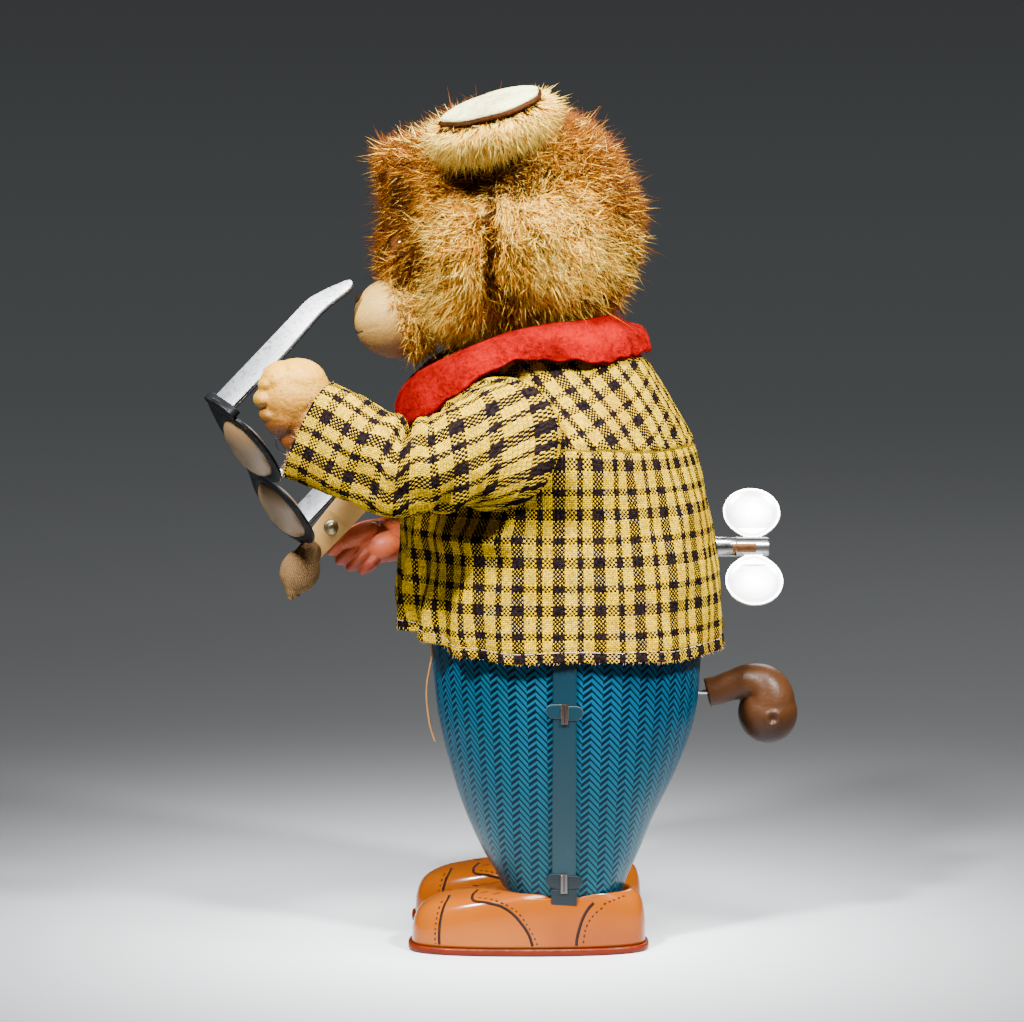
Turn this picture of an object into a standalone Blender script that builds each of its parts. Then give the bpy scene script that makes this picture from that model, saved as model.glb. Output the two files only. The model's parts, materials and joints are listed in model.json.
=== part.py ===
"""Wind-up tin toy: a plush-headed bear in a plaid jacket that polishes a pair of spectacles.

The toy faces -Y, its left side is +X, and it stands on Z = 0. Sizes are in millimetres, in the body's
own frame: its side seams lie in the plane Y = 0 and its mid-plane is X = 0. mm() turns them to metres.
At the end everything is moved along Y, so that the world's origin is under the middle of the toy's box.
"""

import math

import bmesh
import bpy
from mathutils import Matrix, Vector

MM = 0.001
GAP = 0.3

# Feet
SHOE_SPACING = 38.0
SOLE_TOE_Y, SOLE_HEEL_Y = -42.3, 23.3
SOLE_WIDTH = 27.0
SOLE_THICKNESS = 2.0
SHOE_TOP_Z = 16.4
TIN = 0.5

# Body shell: height, front Y, back Y, half width, depth of the crease between the legs
BODY_STATIONS = [
    (16.8, -17.4, 17.4, 30.0, 0.90),
    (25.5, -22.5, 21.4, 31.8, 0.84),
    (35.4, -27.4, 25.8, 34.2, 0.66),
    (46.5, -31.4, 31.6, 36.8, 0.40),
    (59.3, -34.7, 36.6, 39.2, 0.16),
    (77.7, -36.6, 38.4, 40.6, 0.03),
    (92.0, -38.0, 38.0, 40.4, 0.0),
    (108.0, -38.2, 36.4, 39.4, 0.0),
    (124.0, -37.0, 32.8, 37.0, 0.0),
    (136.0, -33.5, 28.0, 33.0, 0.0),
    (144.0, -28.0, 21.5, 26.5, 0.0),
    (149.5, -19.5, 12.0, 16.0, 0.0),
]
CREASE_WIDTH = 5.5
SEAM_STRIP_WIDTH = 6.0
STRIP = 0.4
TAB_HEIGHTS = {"upper": 67.9, "lower": 20.2}

# Jacket: height, front Y, back Y, half width of the outside
JACKET_STATIONS = [
    (79.5, -40.4, 43.6, 43.4),
    (84.0, -43.4, 43.7, 43.5),
    (92.0, -44.6, 43.5, 43.5),
    (108.0, -43.9, 42.1, 43.0),
    (124.0, -43.7, 38.8, 41.0),
    (136.0, -43.9, 35.6, 38.6),
    (145.0, -43.0, 31.5, 34.6),
    (152.0, -40.0, 26.5, 29.6),
    (158.0, -35.5, 22.4, 25.6),
]
CLOTH = 1.2

# Head
HEAD_CENTRE = (0.0, -14.5, 197.0)
HEAD_RADII = (36.0, 37.0, 33.0)
SHELL_RADIUS = 30.0
SHELL_CENTRE = (0.0, -12.0, 196.0)
NECK = (0.0, -12.0, 160.0)
NECK_RADIUS = 10.5
MUZZLE_CENTRE = (0.0, -46.0, 170.5)
MUZZLE_RADII = (14.5, 12.0, 11.0)
EAR_CENTRE = (32.0, -19.2, 228.6)

# Clockwork
KEY_AXIS_Z = 107.7
MODULE = 0.75
BACKLASH = 0.15
GREAT_TEETH, SECOND_PINION_TEETH = 32, 8
SECOND_TEETH, GOVERNOR_PINION_TEETH = 24, 8
SECOND_Z = KEY_AXIS_Z + MODULE * (GREAT_TEETH + SECOND_PINION_TEETH) / 2 + BACKLASH
GOVERNOR_X = MODULE * (SECOND_TEETH + GOVERNOR_PINION_TEETH) / 2 + BACKLASH
FRONT_PLATE_Y, REAR_PLATE_Y = -11.0, 13.0
PLATE = 1.0
KEY_TILT = math.radians(40)
WING_RADIUS, WING_REACH = 7.85, 11.3
KEY_Y = (41.6, 56.4)

# Arms and what they hold
SHOULDER = (-5.3, 136.7)
SHAFT_RADIUS = 1.5
SHAFT_HALF = 45.0
HINGE = Vector((25.0, -92.1, 148.2))
ACROSS = Vector((-0.7441, 0.2486, -0.6196))
TEMPLE_DIRECTION = Vector((-0.3422, 0.6546, 0.6736))
UPWARD = TEMPLE_DIRECTION.cross(ACROSS).normalized()
SPECTACLE_WIDTH = 62.0
RING_RADII = (14.0, 9.8)
RING_CENTRES = ((15.5, -4.8), (46.5, -4.8))
RIM = 2.8
TEMPLE_STRAIGHT, TEMPLE_TIP, TEMPLE_WIDTH = 34.5, 16.5, 6.6

TAIL_AXIS_Z = 67.4

# From the body's frame to the world's, which has its origin under the middle of the whole toy
BODY_TO_WORLD_Y = 15.5

for leftover in list(bpy.data.objects):
    bpy.data.objects.remove(leftover, do_unlink=True)

parts = bpy.data.collections.new("wind_up_bear")
cutters = bpy.data.collections.new("cutters")
for collection in (parts, cutters):
    bpy.context.scene.collection.children.link(collection)


# ---------------------------------------------------------------- helpers

def mm(x, y, z):
    return Vector((x, y, z)) * MM


def material(name, colour, roughness, metallic=0.0):
    finish = bpy.data.materials.new(name)
    finish.use_nodes = True
    shader = finish.node_tree.nodes["Principled BSDF"]
    shader.inputs["Base Color"].default_value = (*colour, 1.0)
    shader.inputs["Roughness"].default_value = roughness
    shader.inputs["Metallic"].default_value = metallic
    return finish


def add(name, data, look=None, smooth=True):
    """A named object in the parts collection, or in the cutters where it has no look."""
    thing = bpy.data.objects.new(name, data)
    if look is None:
        cutters.objects.link(thing)
        thing.hide_render = True
        thing.display_type = "WIRE"
    else:
        parts.objects.link(thing)
        data.materials.append(look)
    if smooth and isinstance(data, bpy.types.Mesh):
        data.shade_smooth()
        data.set_sharp_from_angle(angle=math.radians(35))
    return thing


def mesh_from(name, work):
    bmesh.ops.recalc_face_normals(work, faces=work.faces)
    data = bpy.data.meshes.new(name)
    work.to_mesh(data)
    work.free()
    return data


def ellipsoid(name, centre, radii, look=None, turn=None, segments=20, rings=12):
    work = bmesh.new()
    bmesh.ops.create_uvsphere(work, u_segments=segments, v_segments=rings, radius=MM)
    bmesh.ops.scale(work, vec=radii, verts=work.verts)
    if turn:
        bmesh.ops.rotate(work, matrix=turn, verts=work.verts)
    thing = add(name, mesh_from(name, work), look)
    thing.location = mm(*centre)
    return thing


def cylinder(name, start, end, radius, look=None, segments=20):
    """A straight round bar between two points."""
    start, end = mm(*start), mm(*end)
    run = end - start
    work = bmesh.new()
    bmesh.ops.create_cone(work, cap_ends=True, segments=segments, radius1=radius * MM,
                          radius2=radius * MM, depth=run.length)
    thing = add(name, mesh_from(name, work), look)
    thing.location = (start + end) / 2
    thing.rotation_euler = run.to_track_quat("Z", "Y").to_euler()
    return thing


def box(name, centre, size, look=None, turn=None, bevel=0.0):
    work = bmesh.new()
    bmesh.ops.create_cube(work, size=MM)
    bmesh.ops.scale(work, vec=size, verts=work.verts)
    if turn:
        bmesh.ops.rotate(work, matrix=turn, verts=work.verts)
    thing = add(name, mesh_from(name, work), look, smooth=False)
    thing.location = mm(*centre)
    if bevel:
        round_edges(thing, bevel)
    return thing


def round_edges(thing, width, segments=2):
    edge = thing.modifiers.new("edges", "BEVEL")
    edge.width = width * MM
    edge.segments = segments
    edge.limit_method = "ANGLE"


def tube(name, points, radius, look, resolution=2):
    """A wire or tube along a smooth run of points."""
    curve = bpy.data.curves.new(name, "CURVE")
    curve.dimensions = "3D"
    curve.bevel_depth = radius * MM
    curve.bevel_resolution = resolution
    curve.use_fill_caps = True
    spline = curve.splines.new("POLY")
    spline.points.add(len(points) - 1)
    for point, place in zip(spline.points, points):
        point.co = (*mm(*place), 1.0)
    return add(name, curve, look)


def smooth_run(knots, steps):
    """Points on a Catmull-Rom curve through the knots."""
    rows = [Vector(knot) for knot in knots]
    rows = [2 * rows[0] - rows[1], *rows, 2 * rows[-1] - rows[-2]]
    run = []
    for i in range(1, len(rows) - 2):
        a, b, c, d = rows[i - 1:i + 3]
        for step in range(steps):
            t = step / steps
            run.append(0.5 * (2 * b + (c - a) * t + (2 * a - 5 * b + 4 * c - d) * t ** 2
                              + (3 * b - a - 3 * c + d) * t ** 3))
    return [*run, rows[-2]]


def flat_piece(name, outlines, thickness, look, frame=None):
    """A stamped piece: closed outlines in its own plane, the later ones holes, given a thickness."""
    curve = bpy.data.curves.new(name, "CURVE")
    curve.dimensions = "2D"
    curve.fill_mode = "BOTH"
    curve.extrude = thickness * MM / 2
    for outline in outlines:
        spline = curve.splines.new("POLY")
        spline.points.add(len(outline) - 1)
        for point, (u, v) in zip(spline.points, outline):
            point.co = (u * MM, v * MM, 0.0, 1.0)
        spline.use_cyclic_u = True
    thing = add(name, curve, look)
    if frame:
        thing.matrix_world = frame
    return thing


def as_mesh(thing):
    """The same object as a welded mesh, so that it can be cut or joined."""
    bpy.context.view_layer.update()
    graph = bpy.context.evaluated_depsgraph_get()
    data = bpy.data.meshes.new_from_object(thing.evaluated_get(graph))
    work = bmesh.new()
    work.from_mesh(data)
    bmesh.ops.remove_doubles(work, verts=work.verts, dist=1e-6)
    bmesh.ops.recalc_face_normals(work, faces=work.faces)
    work.to_mesh(data)
    work.free()
    name, place, home = thing.name, thing.matrix_world.copy(), thing.users_collection[0]
    bpy.data.objects.remove(thing, do_unlink=True)
    solid = bpy.data.objects.new(name, data)
    home.objects.link(solid)
    solid.matrix_world = place
    return solid


def combine(thing, other, operation="DIFFERENCE"):
    """A Boolean with a cutter, or with a second shape that becomes one."""
    if other.name in parts.objects:
        parts.objects.unlink(other)
        cutters.objects.link(other)
        other.hide_render = True
        other.display_type = "WIRE"
    boolean = thing.modifiers.new(operation.lower(), "BOOLEAN")
    boolean.operation = operation
    boolean.solver = "EXACT"
    boolean.object = other
    return thing


def loft(name, rings, look, closed=True, caps=False, thickness=0.0):
    """A skin over rings of points, one joined to the next, given a wall inwards if it is open."""
    work = bmesh.new()
    rows = [[work.verts.new(Vector(point) * MM) for point in ring] for ring in rings]
    count = len(rows[0])
    for low, high in zip(rows, rows[1:]):
        for i in range(count if closed else count - 1):
            j = (i + 1) % count
            work.faces.new((low[i], low[j], high[j], high[i]))
    if caps:
        work.faces.new(rows[0][::-1])
        work.faces.new(rows[-1])
    data = mesh_from(name, work)
    thing = add(name, data, look)
    if thickness:
        wall = thing.modifiers.new("wall", "SOLIDIFY")
        wall.thickness = abs(thickness) * MM
        wall.offset = -1.0 if thickness > 0 else 1.0
    return thing


def circle(radius, count=20, centre=(0.0, 0.0)):
    turns = (2 * math.pi * i / count for i in range(count))
    return [(centre[0] + radius * math.cos(a), centre[1] + radius * math.sin(a)) for a in turns]


def at_height(stations, z):
    """The stations' values at a height, on a smooth curve through them."""
    last = len(stations) - 1
    index = max(i for i, row in enumerate(stations[:-1]) if row[0] <= z or i == 0)
    rows = [stations[min(max(index + k, 0), last)] for k in (-1, 0, 1, 2)]
    t = (z - rows[1][0]) / (rows[2][0] - rows[1][0])
    values = []
    for a, b, c, d, za, zb, zc, zd in zip(*[row[1:] for row in rows], *[[row[0]] * 4 for row in rows]):
        slope_b = (c - a) / (zc - za) * (zc - zb)
        slope_c = (d - b) / (zd - zb) * (zc - zb)
        values.append(b + slope_b * t + (3 * (c - b) - 2 * slope_b - slope_c) * t ** 2
                      + (2 * (b - c) + slope_b + slope_c) * t ** 3)
    return values


def heights(stations, count):
    low, high = stations[0][0], stations[-1][0]
    return [low + (high - low) * i / (count - 1) for i in range(count)]


# ---------------------------------------------------------------- finishes

LITHO_BLUE = material("litho_blue", (0.03, 0.33, 0.50), 0.3)
LITHO_TAN = material("litho_tan", (0.76, 0.33, 0.08), 0.25)
SOLE_RED = material("sole_red", (0.62, 0.17, 0.07), 0.35)
TIN_PLATE = material("tin_plate", (0.62, 0.62, 0.60), 0.35, 1.0)
STEEL = material("steel", (0.50, 0.50, 0.50), 0.3, 1.0)
BRASS = material("brass", (0.75, 0.56, 0.25), 0.3, 1.0)
KEY_TIN = material("key_tin", (0.85, 0.86, 0.86), 0.2, 1.0)
PLAID = material("plaid_cotton", (0.72, 0.55, 0.13), 0.9)
RED_FELT = material("red_felt", (0.72, 0.03, 0.02), 0.95)
FUR = material("gold_plush", (0.62, 0.34, 0.10), 0.9)
CREAM_FELT = material("cream_felt", (0.85, 0.77, 0.60), 0.95)
MUZZLE_VINYL = material("cream_vinyl", (0.83, 0.70, 0.50), 0.6)
DARK_VINYL = material("dark_vinyl", (0.05, 0.03, 0.02), 0.35)
PALE_HAND = material("pale_hand_vinyl", (0.83, 0.58, 0.38), 0.6)
RED_HAND = material("red_hand_vinyl", (0.66, 0.26, 0.14), 0.6)
BLACK_TIN = material("black_tin", (0.03, 0.03, 0.035), 0.4, 0.3)
LENS = material("cream_lens", (0.85, 0.74, 0.58), 0.35)
BROWN_VINYL = material("brown_vinyl", (0.16, 0.05, 0.03), 0.4)
THREAD = material("orange_thread", (0.50, 0.22, 0.06), 0.8)


# ---------------------------------------------------------------- feet

def sole_outline(inset, count=28):
    """A rounded sole, a little wider at the ball of the foot than at the heel."""
    middle = (SOLE_TOE_Y + SOLE_HEEL_Y) / 2
    half_length = (SOLE_HEEL_Y - SOLE_TOE_Y) / 2 - inset
    points = []
    for i in range(count):
        a = 2 * math.pi * i / count
        side, along = math.cos(a), math.sin(a)
        half_width = SOLE_WIDTH / 2 - inset - 0.8 * max(along, 0.0)
        points.append((math.copysign(abs(side) ** 0.62, side) * half_width,
                       middle + math.copysign(abs(along) ** 0.78, along) * half_length))
    return points


def shoe_rings(count=28):
    """Rings of the shoe upper, from just above the sole to the opening round the trouser leg."""
    low = sole_outline(1.0, count)
    opening_half = (11.6, 18.6)
    rings = []
    for t, z in ((0.0, 2.4), (0.03, 7.0), (0.13, 10.8), (0.35, 13.5), (0.66, 15.2), (1.0, SHOE_TOP_Z)):
        ring = []
        for i, (x, y) in enumerate(low):
            a = 2 * math.pi * i / count
            top_x, top_y = opening_half[0] * math.cos(a), 0.3 + opening_half[1] * math.sin(a)
            ring.append((x + (top_x - x) * t, y + (top_y - y) * t, z))
        rings.append(ring)
    return rings


def feet():
    for side, sign in (("left", 1), ("right", -1)):
        middle = Matrix.Translation(mm(sign * SHOE_SPACING / 2, 0.0, SOLE_THICKNESS / 2))
        sole = as_mesh(flat_piece(side + "_sole", [sole_outline(0.0)], SOLE_THICKNESS, SOLE_RED, middle))
        round_edges(sole, 0.7)
        upper = loft(side + "_shoe", shoe_rings(), LITHO_TAN, thickness=TIN)
        upper.location = mm(sign * SHOE_SPACING / 2, 0.0, 0.0)


# ---------------------------------------------------------------- body shell

def body_ring(z, back, columns=16):
    """Half a section of the shell, from one side seam to the other."""
    front_y, back_y, half_width, crease = at_height(BODY_STATIONS, z)
    depth = back_y if back else -front_y
    ring = []
    for i in range(columns + 1):
        a = math.pi / 2 * (2 * i / columns - 1)
        x = half_width * math.sin(a)
        y = depth * math.cos(a) * (1 - crease * math.exp(-(x / CREASE_WIDTH) ** 2))
        ring.append((x, (y + GAP / 2) if back else -(y + GAP / 2), z))
    return ring if back else ring[::-1]


def body_shell():
    holes = [
        cylinder("shoulder_holes", (-60, *SHOULDER), (60, *SHOULDER), 4.0),
        cylinder("key_hole", (0, 20, KEY_AXIS_Z), (0, 60, KEY_AXIS_Z), 3.4),
        cylinder("tail_hole", (0, 20, TAIL_AXIS_Z), (0, 60, TAIL_AXIS_Z), 1.4, segments=12),
    ]
    for name, back in (("body_front", False), ("body_back", True)):
        rings = [body_ring(z, back) for z in heights(BODY_STATIONS, 13)]
        shell = loft(name, rings, LITHO_BLUE, closed=False, thickness=TIN)
        for hole in holes if back else holes[:1]:
            combine(shell, hole)


def side_x(z):
    return at_height(BODY_STATIONS, z)[2]


def seam_fittings():
    """A cover strip down each side seam, and the tabs bent over it that hold the halves together."""
    for side, sign in (("left", 1), ("right", -1)):
        half = SEAM_STRIP_WIDTH / 2
        rows = []
        for i in range(12):
            z = SHOE_TOP_Z + 0.6 + (84.0 - SHOE_TOP_Z) * i / 11
            near, far = sign * (side_x(z) + GAP), sign * (side_x(z) + GAP + STRIP)
            rows.append([(near, -half, z), (near, half, z), (far, half, z), (far, -half, z)])
        loft(side + "_seam_strip", rows, LITHO_BLUE, caps=True)
        for level, z in TAB_HEIGHTS.items():
            slope = math.atan2(side_x(z + 2) - side_x(z - 2), 4.0)
            x = sign * (side_x(z) + GAP + STRIP + GAP + 0.45)
            turn = Matrix.Rotation(sign * slope, 3, "Y")
            tab = box(f"{side}_{level}_tab", (x, 0.4, z), (0.5, 9.4, 4.0), LITHO_BLUE, turn, bevel=0.2)
            rib = box(f"{side}_{level}_rib", (x + sign * 0.2, 0.4, z), (1.0, 1.4, 5.2), None, turn)
            combine(tab, rib, "UNION")


# ---------------------------------------------------------------- clothes

def oval(front_y, back_y, half_width, z, count=24):
    ring = []
    for i in range(count):
        a = 2 * math.pi * i / count
        depth = back_y if math.cos(a) > 0 else -front_y
        ring.append((half_width * math.sin(a), depth * math.cos(a), z))
    return ring[::-1]


def jacket():
    rings = [oval(*at_height(JACKET_STATIONS, z), z) for z in heights(JACKET_STATIONS, 9)]
    coat = loft("jacket", rings, PLAID, thickness=CLOTH)
    combine(coat, cylinder("armholes", (-70, *SHOULDER), (70, *SHOULDER), 7.0))
    combine(coat, cylinder("key_slit", (0, 30, KEY_AXIS_Z), (0, 60, KEY_AXIS_Z), 4.2))


def collar():
    """A felt collar that lies low in front and stands high behind the neck."""
    lower, upper = [], []
    for i in range(28):
        a = 2 * math.pi * i / 28
        y = -11.4 + 34.3 * math.cos(a)
        drop = max(0.0, -y / 46.0) ** 1.5
        lower.append((31.0 * math.sin(a), y, 162.8 - 20.4 * drop))
        y = -11.6 + 28.8 * math.cos(a)
        drop = max(0.0, (-y - 12.0) / 28.4) ** 1.4
        upper.append((26.5 * math.sin(a), y, 169.6 - 14.8 * drop))
    middle = [((a[0] + b[0]) * 0.51, (a[1] + b[1]) / 2, (a[2] + b[2]) / 2 + 0.6) for a, b in zip(lower, upper)]
    loft("collar", [lower[::-1], middle[::-1], upper[::-1]], RED_FELT, thickness=1.2)


def sleeve(name, stations):
    """A hollow sleeve from rings given by centre, direction, half width and half height."""
    rings = []
    for centre, direction, half_width, half_height in stations:
        direction = Vector(direction).normalized()
        level = direction.cross(Vector((0, 0, 1))).normalized()
        rise = level.cross(direction)
        rings.append([Vector(centre) + level * half_width * math.cos(a) + rise * half_height * math.sin(a)
                      for a in (2 * math.pi * i / 16 for i in range(16))])
    loft(name, rings, PLAID, thickness=1.2)


def sleeves():
    sleeve("left_sleeve", [
        ((42.6, -5.3, 134.5), (1, 0, 0), 11.0, 12.0),
        ((47.0, -7.6, 133.5), (0.80, -0.60, 0), 8.6, 12.4),
        ((49.6, -14.0, 132.6), (0.35, -0.94, 0), 8.0, 12.8),
        ((50.0, -25.0, 131.4), (0, -1, 0), 8.8, 13.0),
        ((48.0, -38.0, 132.6), (-0.2, -0.96, 0.20), 9.6, 12.8),
        ((42.0, -53.0, 138.0), (-0.28, -0.88, 0.38), 9.8, 13.0),
        ((36.0, -66.0, 143.0), (-0.25, -0.87, 0.42), 9.4, 13.6),
    ])
    sleeve("right_sleeve", [
        ((-42.6, -5.3, 134.5), (-1, 0, 0), 11.0, 12.0),
        ((-47.0, -7.6, 132.5), (-0.80, -0.55, -0.2), 8.6, 12.4),
        ((-49.6, -13.5, 129.0), (-0.30, -0.80, -0.5), 8.0, 12.6),
        ((-50.0, -21.5, 122.5), (0, -0.80, -0.6), 8.6, 12.4),
        ((-48.5, -30.5, 115.5), (0.25, -0.85, -0.5), 9.0, 12.0),
        ((-44.0, -38.0, 110.8), (0.40, -0.85, -0.35), 9.0, 11.6),
        ((-39.5, -45.0, 107.6), (0.45, -0.85, -0.25), 9.0, 11.4),
    ])


def hem_thread():
    """A loose sewing thread that hangs out of the jacket's front hem."""
    knots = [(15.0, -37.0, 88.2), (15.0, -36.1, 83.5), (15.1, -35.8, 79.6), (15.2, -36.5, 75.5),
             (14.9, -37.2, 71.0), (14.8, -37.1, 66.0), (15.0, -36.3, 60.5), (15.3, -35.0, 56.2)]
    tube("hem_thread", smooth_run(knots, 3), 0.3, THREAD)


# ---------------------------------------------------------------- clockwork

def gear_outline(teeth, phase=0.0):
    """Straight-flanked teeth, thin enough to run with backlash."""
    pitch = MODULE * teeth / 2
    root, tip = pitch - 1.15 * MODULE, pitch + 0.85 * MODULE
    step = 2 * math.pi / teeth
    points = []
    for i in range(teeth):
        middle = phase + i * step
        for radius, share in ((root, -0.30), (tip, -0.11), (tip, 0.11), (root, 0.30)):
            points.append((radius * math.cos(middle + share * step), radius * math.sin(middle + share * step)))
    return points


def upright(x, y, z):
    """A flat piece's frame with its plane square to Y: u along X, v along Z."""
    return Matrix.Translation(mm(x, y, z)) @ Matrix.Rotation(math.pi / 2, 4, "X")


def motor_frame():
    half, low, high = 17.5, 88.0, 129.5
    corner = 3.0
    outline = [(-half + corner, low), (half - corner, low), (half, low + corner), (half, high - corner),
               (half - corner, high), (-half + corner, high), (-half, high - corner), (-half, low + corner)]
    pivots = [circle(1.85, 16, (0, KEY_AXIS_Z)), circle(1.35, 16, (0, SECOND_Z)),
              circle(1.15, 16, (GOVERNOR_X, SECOND_Z))]
    flat_piece("motor_front_plate", [outline, *pivots], PLATE, TIN_PLATE, upright(0, FRONT_PLATE_Y, 0))
    flat_piece("motor_rear_plate", [outline, *pivots], PLATE, TIN_PLATE, upright(0, REAR_PLATE_Y, 0))
    front, rear = FRONT_PLATE_Y + PLATE / 2 + GAP, REAR_PLATE_Y - PLATE / 2 - GAP
    for number, (x, z) in enumerate(((-14.5, 91.0), (14.5, 91.0), (-14.0, 126.0)), 1):
        cylinder(f"motor_pillar_{number}", (x, front, z), (x, rear, z), 1.6, STEEL, segments=14)


def mainspring():
    """A coiled steel ribbon round the winding arbor, its outer end by a pillar."""
    path = []
    turns, per_turn, inner, outer = 4, 14, 3.8, 12.4
    for i in range(turns * per_turn + 1):
        share = i / (turns * per_turn)
        a = 2 * math.pi * turns * share + math.radians(205)
        radius = inner + (outer - inner) * share
        path.append((radius * math.cos(a), KEY_AXIS_Z + radius * math.sin(a)))
    path += [(-12.3, 98.6), (-12.9, 94.6)]
    rows = [[(x, y, z) for x, z in path] for y in (-5.0, 3.0)]
    loft("mainspring", rows, STEEL, closed=False, thickness=0.3)


def key():
    start, end = KEY_Y
    shank = cylinder("winding_key", (0, start, KEY_AXIS_Z), (0, end, KEY_AXIS_Z), 2.6, KEY_TIN, segments=16)
    away = Vector((-math.sin(KEY_TILT), 0, math.cos(KEY_TILT)))
    facing = Vector((math.cos(KEY_TILT), 0, math.sin(KEY_TILT)))
    middle = Vector((0, 52.2, KEY_AXIS_Z))
    for name, sign in (("upper", 1), ("lower", -1)):
        centre = middle + away * WING_REACH * sign
        wing = cylinder(name + "_wing", centre - facing * 0.45, centre + facing * 0.45, WING_RADIUS, segments=24)
        combine(shank, wing, "UNION")
        neck = box(name + "_neck", middle + away * 3.4 * sign, (0.9, 8.0, 5.0),
                   turn=Matrix.Rotation(-KEY_TILT, 3, "Y"))
        combine(shank, neck, "UNION")
    combine(shank, cylinder("key_bore", (0, start - 5, KEY_AXIS_Z), (0, end - 1.2, KEY_AXIS_Z), 1.9))
    window = box("key_window", middle - Vector((0, 2.6, 0)), (12, 6.4, 3.0), turn=Matrix.Rotation(-KEY_TILT, 3, "Y"))
    combine(shank, window)


def saw_outline(teeth, outer, inner):
    points = []
    for i in range(teeth):
        a = 2 * math.pi * i / teeth
        points += [(outer * math.cos(a), outer * math.sin(a)), (inner * math.cos(a), inner * math.sin(a))]
        b = a + math.pi / teeth
        middle = (outer + inner) / 2
        points.append((middle * math.cos(b), middle * math.sin(b)))
    return points


def winding_train():
    cylinder("winding_arbor", (0, -13.0, KEY_AXIS_Z), (0, 54.6, KEY_AXIS_Z), 1.5, STEEL, segments=16)
    bore = circle(1.8, 16)
    flat_piece("great_wheel", [gear_outline(GREAT_TEETH, math.pi / 2), bore], 1.2, BRASS, upright(0, 9.0, KEY_AXIS_Z))
    flat_piece("ratchet_wheel", [saw_outline(14, 5.0, 4.0), bore], 1.2, STEEL, upright(0, 7.2, KEY_AXIS_Z))
    click = [(-8.4, 1.2), (-9.3, 0.2), (-8.6, -0.9), (-7.2, -0.6), (-5.6, 1.6), (-4.95, 2.5), (-5.4, 3.0), (-6.6, 2.4)]
    flat_piece("click", [click], 1.2, STEEL, upright(0, 7.2, KEY_AXIS_Z))


def arbor_with_pinion(name, x, z, radius, start, end, pinion_y, pinion_length, phase):
    arbor = cylinder(name, (x, start, z), (x, end, z), radius, STEEL, segments=14)
    leaves = as_mesh(flat_piece(name + "_leaves", [gear_outline(SECOND_PINION_TEETH, phase)], pinion_length, STEEL,
                                upright(x, pinion_y, z)))
    combine(arbor, leaves, "UNION")


def running_train():
    half_leaf = math.pi / SECOND_PINION_TEETH
    arbor_with_pinion("second_arbor", 0, SECOND_Z, 1.0, -15.8, 13.9, 9.0, 2.4, -math.pi / 2 + half_leaf)
    bore = circle(1.3, 16)
    flat_piece("second_wheel", [gear_outline(SECOND_TEETH), bore], 1.0, BRASS, upright(0, -8.4, SECOND_Z))
    eccentric = circle(3.6, 24, (0.0, -1.3))
    flat_piece("arm_cam", [eccentric, bore], 1.4, STEEL, upright(0, -14.2, SECOND_Z))
    arbor_with_pinion("governor_arbor", GOVERNOR_X, SECOND_Z, 0.8, -11.9, 13.9, -8.4, 2.0, math.pi + half_leaf)
    weights = circle(4.4, 24)
    flat_piece("governor_wheel", [weights, circle(1.1, 12)], 2.0, BRASS, upright(GOVERNOR_X, 0.0, SECOND_Z))


# ---------------------------------------------------------------- arms

def arms():
    y, z = SHOULDER
    cylinder("shoulder_shaft", (-SHAFT_HALF, y, z), (SHAFT_HALF, y, z), SHAFT_RADIUS, STEEL, segments=16)
    reach = SHAFT_HALF + SHAFT_RADIUS + GAP + 0.2
    tube("left_arm", smooth_run([(reach, y, z), (48.6, -16.0, 134.2), (49.0, -26.0, 132.6), (46.8, -38.0, 133.8),
                                 (41.6, -51.5, 138.6), (37.4, -60.0, 142.2)], 2), 1.5, STEEL)
    tube("right_arm", smooth_run([(-reach, y, z), (-49.0, -14.0, 129.4), (-49.0, -22.0, 122.6),
                                  (-47.0, -31.0, 115.8), (-42.4, -39.4, 110.6), (-38.8, -44.4, 108.2)], 2),
         1.5, STEEL)
    lever = [(-2.9, 0.0), (-2.0, -2.2), (0.5, -2.9), (4.6, -2.8), (7.8, -5.2), (10.2, -4.2), (9.4, -1.6),
             (4.6, 0.9), (2.0, 2.4), (-0.6, 2.9), (-2.4, 1.8)]
    sideways = Matrix.Translation(mm(0, y, z)) @ Matrix.Rotation(math.pi / 2, 4, "X") @ Matrix.Rotation(-math.pi / 2, 4, "Y")
    flat_piece("rocker_lever", [lever, circle(SHAFT_RADIUS + GAP, 16)], 1.6, STEEL, sideways)


def left_hand():
    """A mitten fist with a thumb that pinches the spectacles' temple."""
    turn = Matrix.Rotation(math.radians(-25), 3, "X")
    fist = ellipsoid("left_hand", (32.0, -72.6, 152.4), (10.6, 9.6, 11.8), PALE_HAND, turn, 16, 12)
    thumb = ellipsoid("left_thumb", (25.4, -78.0, 156.8), (3.6, 3.4, 4.6), segments=12, rings=8)
    combine(fist, thumb, "UNION")


def right_hand():
    fist = ellipsoid("right_hand", (-30.4, -56.4, 104.6), (7.6, 9.8, 8.4), RED_HAND, segments=16, rings=10)
    for i in range(3):
        knuckle = ellipsoid(f"right_knuckle_{i}", (-26.6, -63.0 + 1.2 * i, 108.6 - 4.4 * i), (4.2, 3.6, 2.6),
                            segments=10, rings=6)
        combine(fist, knuckle, "UNION")


def spectacle_point(w, h, t=0.0):
    return HINGE + ACROSS * w + UPWARD * h + TEMPLE_DIRECTION * t


def spectacle_frame_matrix(w=0.0, h=0.0, t=0.0):
    place = Matrix.Translation(spectacle_point(w, h, t) * MM)
    axes = Matrix((ACROSS, UPWARD, TEMPLE_DIRECTION * -1)).transposed()
    return place @ axes.to_4x4()


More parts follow.
